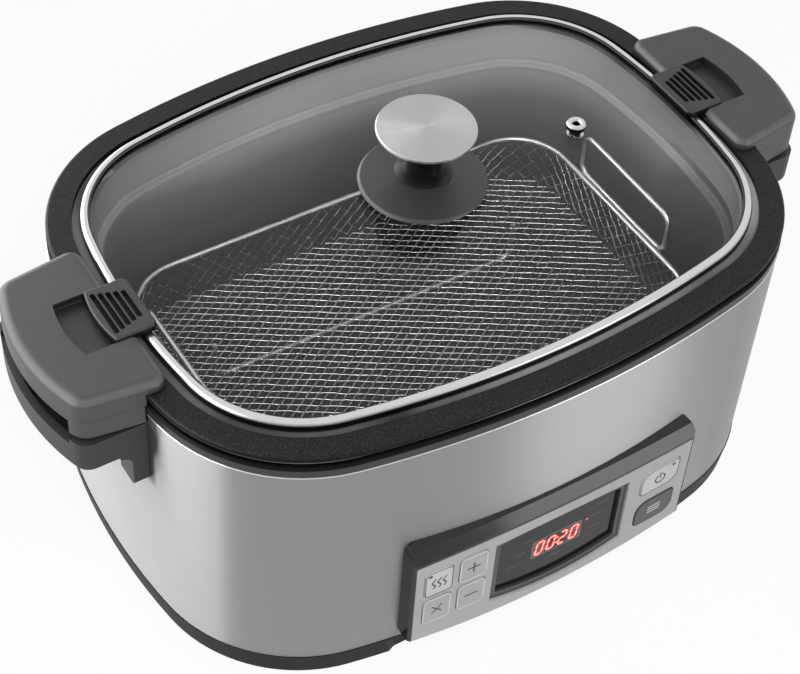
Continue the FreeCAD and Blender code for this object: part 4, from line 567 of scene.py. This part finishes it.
def key_signs():
    """A plain sign on each key, and a lamp on two of them."""
    warm_lamp, power_lamp, lamp_radius, power_drop = (-79.0, 74.2), (75.5, 71.4), 1.1, 0.8
    signs = (
        ("sign_warm", warm_sign(KEY_OUTER_X, KEY_UPPER_Z), print_dark, "key_warm"),
        ("lamp_warm", disc(*warm_lamp, lamp_radius), print_dark, "key_warm"),
        ("sign_cancel", cross_sign(KEY_OUTER_X, KEY_LOWER_Z), print_dark, "key_cancel"),
        ("sign_plus", plus_sign(KEY_INNER_X, KEY_UPPER_Z), print_dark, "key_plus"),
        ("sign_minus", minus_sign(KEY_INNER_X, KEY_LOWER_Z), print_dark, "key_minus"),
        ("sign_power", power_sign(MODE_KEY_X, POWER_KEY_Z - power_drop), print_dark, "key_power"),
        ("lamp_power", disc(*power_lamp, lamp_radius), print_dark, "key_power"),
        ("sign_menu", menu_sign(MODE_KEY_X, MENU_KEY_Z), print_pale, "key_menu"),
    )
    for name, polygons, material, body in signs:
        printed(name, polygons, KEY_PROUD, material, body)


# Display: the digits shown, the lit segments of each, their slant and the middle of their field
DIGITS = "0020"
SEGMENTS = {"0": "abcdef", "2": "abged"}
DIGIT_SLANT = 0.14
FIELD_X, FIELD_Z = 2.6, 50.2


def box_path(left, right, low, high):
    """Corners of an upright rectangle."""
    return [Vector((left, low)), Vector((right, low)), Vector((right, high)), Vector((left, high))]


def digit(character, x, z, bar):
    """Seven-segment digit: slanted bars of some width with pointed ends."""
    wide, tall, gap = 2.1, 4.85, 0.2
    half = bar / 2
    ends = {
        "a": ((-wide, tall), (wide, tall)),
        "b": ((wide, 0.0), (wide, tall)),
        "c": ((wide, -tall), (wide, 0.0)),
        "d": ((-wide, -tall), (wide, -tall)),
        "e": ((-wide, -tall), (-wide, 0.0)),
        "f": ((-wide, 0.0), (-wide, tall)),
        "g": ((-wide, 0.0), (wide, 0.0)),
    }
    polygons = []
    for segment in SEGMENTS[character]:
        (u0, v0), (u1, v1) = ends[segment]
        if v0 == v1:
            outline = [
                (u0 + gap, v0), (u0 + gap + half, v0 - half), (u1 - gap - half, v0 - half),
                (u1 - gap, v0), (u1 - gap - half, v0 + half), (u0 + gap + half, v0 + half),
            ]
        else:
            outline = [
                (u0, v0 + gap), (u0 + half, v0 + gap + half), (u0 + half, v1 - gap - half),
                (u0, v1 - gap), (u0 - half, v1 - gap - half), (u0 - half, v0 + gap + half),
            ]
        polygons.append([Vector((x + u + v * DIGIT_SLANT, z + v)) for u, v in outline])
    return polygons


def lit_figures(bar):
    """The digits and the two dots between them, with bars of some width."""
    pitch, dot_shift, dot_rise = 7.35, 0.25, 1.9
    figures = []
    for index, character in enumerate(DIGITS):
        figures += digit(character, FIELD_X + (index - (len(DIGITS) - 1) / 2) * pitch, FIELD_Z, bar)
    for rise in (-dot_rise, dot_rise):
        figures += disc(FIELD_X + dot_shift + rise * DIGIT_SLANT, FIELD_Z + rise, 0.2 + bar * 0.3)
    return figures


def window_marks():
    """Plain bars round the digits: each is its middle and its length."""
    line = 0.8
    rows = (
        (-24.2, 43.9, 8.4), (-20.6, 52.2, 5.0), (-16.8, 60.8, 6.0), (1.8, 37.6, 11.0), (24.5, 39.8, 4.5),
        (27.4, 46.7, 6.5), (28.7, 56.2, 7.8), (31.0, 64.0, 8.4),
    )
    marks = []
    for x, z, length in rows:
        marks += stroke([(x - length / 2, z), (x + length / 2, z)], line)
    return marks


def display_signs():
    """Lit digits with a painted red glow round them on a field tinted as painted glow, the lit lamp and faint
    marks on the smoked window.
    """
    half_width, half_height, edge_line, glow_bar, digit_bar = 15.6, 7.0, 0.4, 2.3, 0.5
    lamp_x, lamp_z, lamp_radius = 21.9, 55.2, 0.9
    # Painted glow: the wide red bars under the digits stand for their halo, and the field's red tint for
    # their light on it
    glow = glowing("painted_red_glow", (0.9, 0.03, 0.025), 1.0)
    core = glowing("lit_core", (1.0, 0.52, 0.42), 1.25)
    dim = glowing("lit_dim", (0.50, 0.05, 0.045), 1.0)
    back = moulded("painted_glow_field", (0.10, 0.045, 0.04), 0.4)
    left, right = FIELD_X - half_width, FIELD_X + half_width
    field = box_path(left, right, FIELD_Z - half_height, FIELD_Z + half_height)
    layers = (
        ("painted_glow_field", [field], 0.0, back),
        ("lit_edge", stroke(field, edge_line, closed=True), 0.06, print_mid),
        ("painted_digit_glow", lit_figures(glow_bar), 0.12, glow),
        ("lit_digits", lit_figures(digit_bar), 0.18, core),
        ("lit_lamp", disc(lamp_x, lamp_z, lamp_radius), 0.0, dim),
        ("window_marks", window_marks(), 0.0, print_faint),
    )
    for name, polygons, level, material in layers:
        printed(name, polygons, WINDOW_PROUD + level, material, "housing")


def plate_brow():
    """The plate's almost straight edge over the window, let into the upper bow of the plate's opening."""
    middle, half, low, rise, edge_rise = 2.5, 42.5, 75.5, 5.5, 1.0
    overlap, end, front, back = 0.1, 0.5, -0.02, -1.3
    steps = 36
    bend = (half * half + rise * rise) / (2 * rise)
    reach = half - end
    points = []
    for step in range(steps + 1):
        across = -reach + 2 * reach * step / steps
        arch = low + rise - bend + math.sqrt(bend * bend - across * across)
        edge = low + (arch - low) * edge_rise / rise
        corners = ((edge, front), (arch + overlap, front), (arch + overlap, back), (edge, back))
        points += [panel_point(middle + across, z, proud) for z, proud in corners]
    faces = [(0, 1, 2, 3), tuple(4 * steps + corner for corner in (3, 2, 1, 0))]
    for step in range(steps):
        for corner in range(4):
            after = (corner + 1) % 4
            a = 4 * step
            faces.append((a + corner, a + 4 + corner, a + 4 + after, a + after))
    brow = mesh_piece("plate_brow", points, faces, LOOKS["panel_silver"], "housing")


key_edges()
key_signs()
display_signs()
plate_brow()


# Plan of the housing in millimetres: eight tangent arcs, as in the solids
def plan_points(inset, steps=12):
    """Points of the housing's plan moved inwards, counter-clockwise from the right end."""
    half_length, half_width, side, end, corner = 188.0, 141.5, 580.0, 383.0, 87.5
    end_x = half_length - end
    side_y = half_width - side
    gap = Vector((end_x, -side_y))
    along = ((side - corner) ** 2 - (end - corner) ** 2 + gap.length_squared) / (2 * gap.length)
    across = math.sqrt((side - corner) ** 2 - along ** 2)
    ahead = gap.normalized()
    middle = Vector((0.0, side_y)) + ahead * along + Vector((ahead.y, -ahead.x)) * across
    low = math.atan2(middle.y, middle.x - end_x)
    high = math.atan2(middle.y - side_y, middle.x)
    quarter = []
    arcs = (
        (Vector((end_x, 0.0)), end, 0.0, low), (middle, corner, low, high),
        (Vector((0.0, side_y)), side, high, math.pi / 2),
    )
    for centre, radius, first, last in arcs:
        for step in range(steps):
            turn = first + (last - first) * step / steps
            quarter.append(centre + Vector((math.cos(turn), math.sin(turn))) * (radius - inset))
    top = Vector((0.0, half_width - inset))
    upper = quarter + [top] + [Vector((-point.x, point.y)) for point in reversed(quarter[1:])]
    return upper + [Vector((-point.x, -point.y)) for point in upper]


def ring(name, path, profile, material, body):
    """Sweeps a small closed profile of (outwards, up) offsets along a flat closed path at its own heights."""
    count = len(path)
    size = len(profile)
    points = []
    for index in range(count):
        ahead = path[(index + 1) % count]
        back = path[index - 1]
        tangent = (ahead - back).normalized()
        outwards = Vector((tangent.y, -tangent.x))
        for out, up in profile:
            spot = path[index] + outwards * out
            points.append(Vector((spot.x, spot.y, up)) * MM)
    faces = []
    for index in range(count):
        after = (index + 1) % count
        for side in range(size):
            following = (side + 1) % size
            here, there = index * size, after * size
            faces.append((here + side, there + side, there + following, here + following))
    return mesh_piece(name, points, faces, material, body, smooth=True)


def round_profile(out, up, radius, sides=10):
    """A circle of (outwards, up) offsets."""
    turns = [2 * math.pi * side / sides for side in range(sides)]
    return [(out + radius * math.cos(turn), up + radius * math.sin(turn)) for turn in turns]


def shell_bead():
    """Bright bead along the shell's upper edge."""
    height, radius = 163.4, 0.42
    steel = polished("bead_steel", grey(0.6), 0.2)
    bead = ring("shell_bead", plan_points(0.0), round_profile(0.0, height, radius), steel, "housing")


def glass_seal():
    """Soft seal between the glass and the lid's rim."""
    inset, out, height, radius = 22.0, -0.3, 179.85, 0.65
    rubber = moulded("seal_rubber", grey(0.08), 0.6, 900.0, 0.00002, 0.3, shine=0.1)
    seal = ring("glass_seal", plan_points(inset), round_profile(out, height, radius), rubber, "lid")


shell_bead()
glass_seal()


# Basket in millimetres: woven mesh instead of the solids' sheets
BASKET_HALF_LENGTH, BASKET_HALF_WIDTH, BASKET_BEND = 138.5, 85.5, 33.0
WIRE_RADIUS = 0.42
# A direction that no wire runs along
TILTED = Vector((0.31, 0.17, 0.93))


def rounded_path(half_length, half_width, bend, steps=8):
    """Closed rounded rectangle, counter-clockwise from the front's left corner."""
    points = []
    for index, (x, y) in enumerate(((-1, -1), (1, -1), (1, 1), (-1, 1))):
        for step in range(steps + 1):
            turn = math.radians(180 + 90 * index + 90 * step / steps)
            centre = Vector(((half_length - bend) * x, (half_width - bend) * y))
            points.append(centre + Vector((math.cos(turn), math.sin(turn))) * bend)
    return points


def walk(path, distance):
    """Point at a distance along a closed path, and the way outwards there."""
    spots = path + path[:1]
    index = 0
    while index < len(path) - 1 and distance > (spots[index + 1] - spots[index]).length:
        distance -= (spots[index + 1] - spots[index]).length
        index += 1
    along = (spots[index + 1] - spots[index]).normalized()
    return spots[index] + along * distance, Vector((along.y, -along.x))


def tube_mesh(name, lines, radius, material, body, sides=5):
    """Round wires along many lines of points, as one mesh."""
    points = []
    faces = []
    for line in lines:
        start = len(points)
        count = len(line)
        for index, spot in enumerate(line):
            tangent = (line[min(index + 1, count - 1)] - line[max(index - 1, 0)]).normalized()
            side = tangent.cross(TILTED).normalized()
            other = tangent.cross(side)
            for turn in range(sides):
                angle = 2 * math.pi * turn / sides
                around = side * radius * math.cos(angle) + other * radius * math.sin(angle)
                points.append((spot + around) * MM)
        for index in range(count - 1):
            for turn in range(sides):
                after = (turn + 1) % sides
                a = start + index * sides
                faces.append((a + turn, a + after, a + sides + after, a + sides + turn))
    return mesh_piece(name, points, faces, material, body, smooth=True)


def side_wires():
    """Two crossing families of crimped wires round the basket's sides."""
    low, high, count, steps, crossings, crimp = 76.4, 104.6, 96, 8, 6, 0.35
    path = rounded_path(BASKET_HALF_LENGTH, BASKET_HALF_WIDTH, BASKET_BEND)
    total = sum((b - a).length for a, b in zip(path, path[1:] + path[:1]))
    pitch = total / count
    lean = crossings / 2 * pitch
    lines = []
    for family, sign in enumerate((1, -1)):
        for wire in range(count):
            line = []
            for step in range(steps + 1):
                share = step / steps
                spot, outwards = walk(path, (wire * pitch + sign * lean * share) % total)
                wave = crimp * math.cos(math.pi * (share * crossings + family))
                spot = spot + outwards * wave
                line.append(Vector((spot.x, spot.y, low + (high - low) * share)))
            lines.append(line)
    return lines


def floor_wires():
    """Two crossing families of crimped wires over the basket's floor, cut off at its outline."""
    pitch, slope, height, crimp, margin = 8.8, 0.62, 76.6, 0.32, 0.8
    samples, kept_every = 480, 12
    reach_x, reach_y = BASKET_HALF_LENGTH - margin, BASKET_HALF_WIDTH - margin
    corner = BASKET_BEND - margin

    def inside(x, y):
        past_x = max(0.0, abs(x) - (reach_x - corner))
        past_y = max(0.0, abs(y) - (reach_y - corner))
        return abs(x) <= reach_x and abs(y) <= reach_y and math.hypot(past_x, past_y) <= corner
    spread = reach_x + reach_y / slope
    lines = []
    for family, sign in enumerate((1, -1)):
        for wire in range(int(2 * spread / pitch) + 1):
            line = []
            for sample in range(samples + 1):
                y = -reach_y + 2 * reach_y * sample / samples
                x = -spread + wire * pitch + sign * y / slope
                if inside(x, y):
                    wave = crimp * math.cos(math.pi * (y / (pitch * slope) + family))
                    line.append(Vector((x, y, height + wave)))
            if len(line) > 2:
                last = [line[-1]] if (len(line) - 1) % kept_every else []
                lines.append(line[::kept_every] + last)
    return lines


def basket_mesh():
    """The basket's nets: a band round the sides and a sheet for the floor."""
    steel = polished("mesh_steel", grey(0.34, 0.006), 0.24)
    sides = tube_mesh("basket_mesh_sides", side_wires(), WIRE_RADIUS, steel, "basket")
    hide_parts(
        "basket_side_front", "basket_side_back", "basket_side_left", "basket_side_right",
        "basket_corners",
    )
    floor = tube_mesh("basket_mesh_floor", floor_wires(), WIRE_RADIUS, steel, "basket")
    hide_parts("basket_floor")


basket_mesh()


# Stage in metres
WHITE = (1.0, 1.0, 1.0, 1.0)


def stage_floor():
    """Pale floor that shows white to the camera and keeps a faint shadow."""
    half, glow_share = 6.0, 0.9
    look = Look("floor", grey(0.86), 0.9)
    cloud = look.noise(3.0)
    look.set("Base Color", look.shades(cloud, (0.2, grey(0.84)), (0.8, grey(0.88))))
    rays = look.add("ShaderNodeLightPath")
    seen = look.math("MAXIMUM", rays.outputs["Is Camera Ray"], rays.outputs["Is Transmission Ray"])
    seen = look.math("MAXIMUM", seen, rays.outputs["Is Glossy Ray"])
    glow = look.add("ShaderNodeEmission", {"Color": WHITE, "Strength": 1.0})
    look.blend(look.math("MULTIPLY", seen, glow_share), glow)
    corners = [(-half, -half, 0), (half, -half, 0), (half, half, 0), (-half, half, 0)]
    mesh = bpy.data.meshes.new("floor")
    mesh.from_pydata(corners, [], [(0, 1, 2, 3)])
    mesh.materials.append(look.material)
    floor = bpy.data.objects.new("floor", mesh)
    bpy.context.scene.collection.objects.link(floor)


def soft_box(name, place, target, width, height, power, mirrored=False):
    """A lamp turned towards a point. A mirrored one shows in metal only, the others light the rest."""
    lamp = bpy.data.lights.new(name, "AREA")
    lamp.shape = "RECTANGLE"
    lamp.size = width
    lamp.size_y = height
    lamp.energy = power
    item = bpy.data.objects.new(name, lamp)
    item.location = place
    item.rotation_euler = (Vector(target) - Vector(place)).to_track_quat("-Z", "Y").to_euler()
    item.visible_glossy = mirrored
    item.visible_diffuse = not mirrored
    bpy.context.scene.collection.objects.link(item)


def world():
    """Even pale surroundings, white where the background shows directly, in metal or through glass."""
    dim, bright = 0.28, 1.0
    space = bpy.data.worlds.new("studio")
    bpy.context.scene.world = space
    space.use_nodes = True
    tree = space.node_tree
    plain = tree.nodes["Background"]
    white = tree.nodes.new("ShaderNodeBackground")
    for background, strength in ((plain, dim), (white, bright)):
        background.inputs["Color"].default_value = WHITE
        background.inputs["Strength"].default_value = strength
    rays = tree.nodes.new("ShaderNodeLightPath")
    seen = rays.outputs["Is Camera Ray"]
    for other in ("Is Glossy Ray", "Is Transmission Ray"):
        either = tree.nodes.new("ShaderNodeMath")
        either.operation = "MAXIMUM"
        tree.links.new(seen, either.inputs[0])
        tree.links.new(rays.outputs[other], either.inputs[1])
        seen = either.outputs[0]
    mix = tree.nodes.new("ShaderNodeMixShader")
    tree.links.new(seen, mix.inputs[0])
    tree.links.new(plain.outputs[0], mix.inputs[1])
    tree.links.new(white.outputs[0], mix.inputs[2])
    tree.links.new(mix.outputs[0], tree.nodes["World Output"].inputs["Surface"])


def camera():
    """Camera at the photograph's place, fitted to the outline."""
    place = Vector((-0.4244, -0.60314, 0.86567))
    ahead = Vector((0.38737, 0.55993, -0.7324)).normalized()
    right = Vector((0.84976, -0.52497, 0.0481)).normalized()
    lens = bpy.data.cameras.new("camera")
    lens.sensor_fit = "HORIZONTAL"
    lens.sensor_width = 36.0
    lens.lens = 86.64
    lens.clip_start = 0.05
    item = bpy.data.objects.new("camera", lens)
    turn = Matrix((right, right.cross(ahead), -ahead)).transposed()
    item.matrix_world = Matrix.Translation(place) @ turn.to_4x4()
    bpy.context.scene.collection.objects.link(item)
    bpy.context.scene.camera = item


stage_floor()
world()
soft_box("top_box", (-0.40, -0.85, 1.35), (0.0, 0.0, 0.1), 0.7, 1.0, 20.0)
soft_box("left_card", (-0.48, 0.535, 0.52), (0.345, -0.03, 0.52), 2.27, 1.0, 28.0, mirrored=True)
soft_box("right_card", (0.687, -1.252, 0.45), (0.07, -0.14, 0.45), 0.54, 0.9, 6.2, mirrored=True)
camera()
bpy.context.scene.view_settings.view_transform = "Standard"
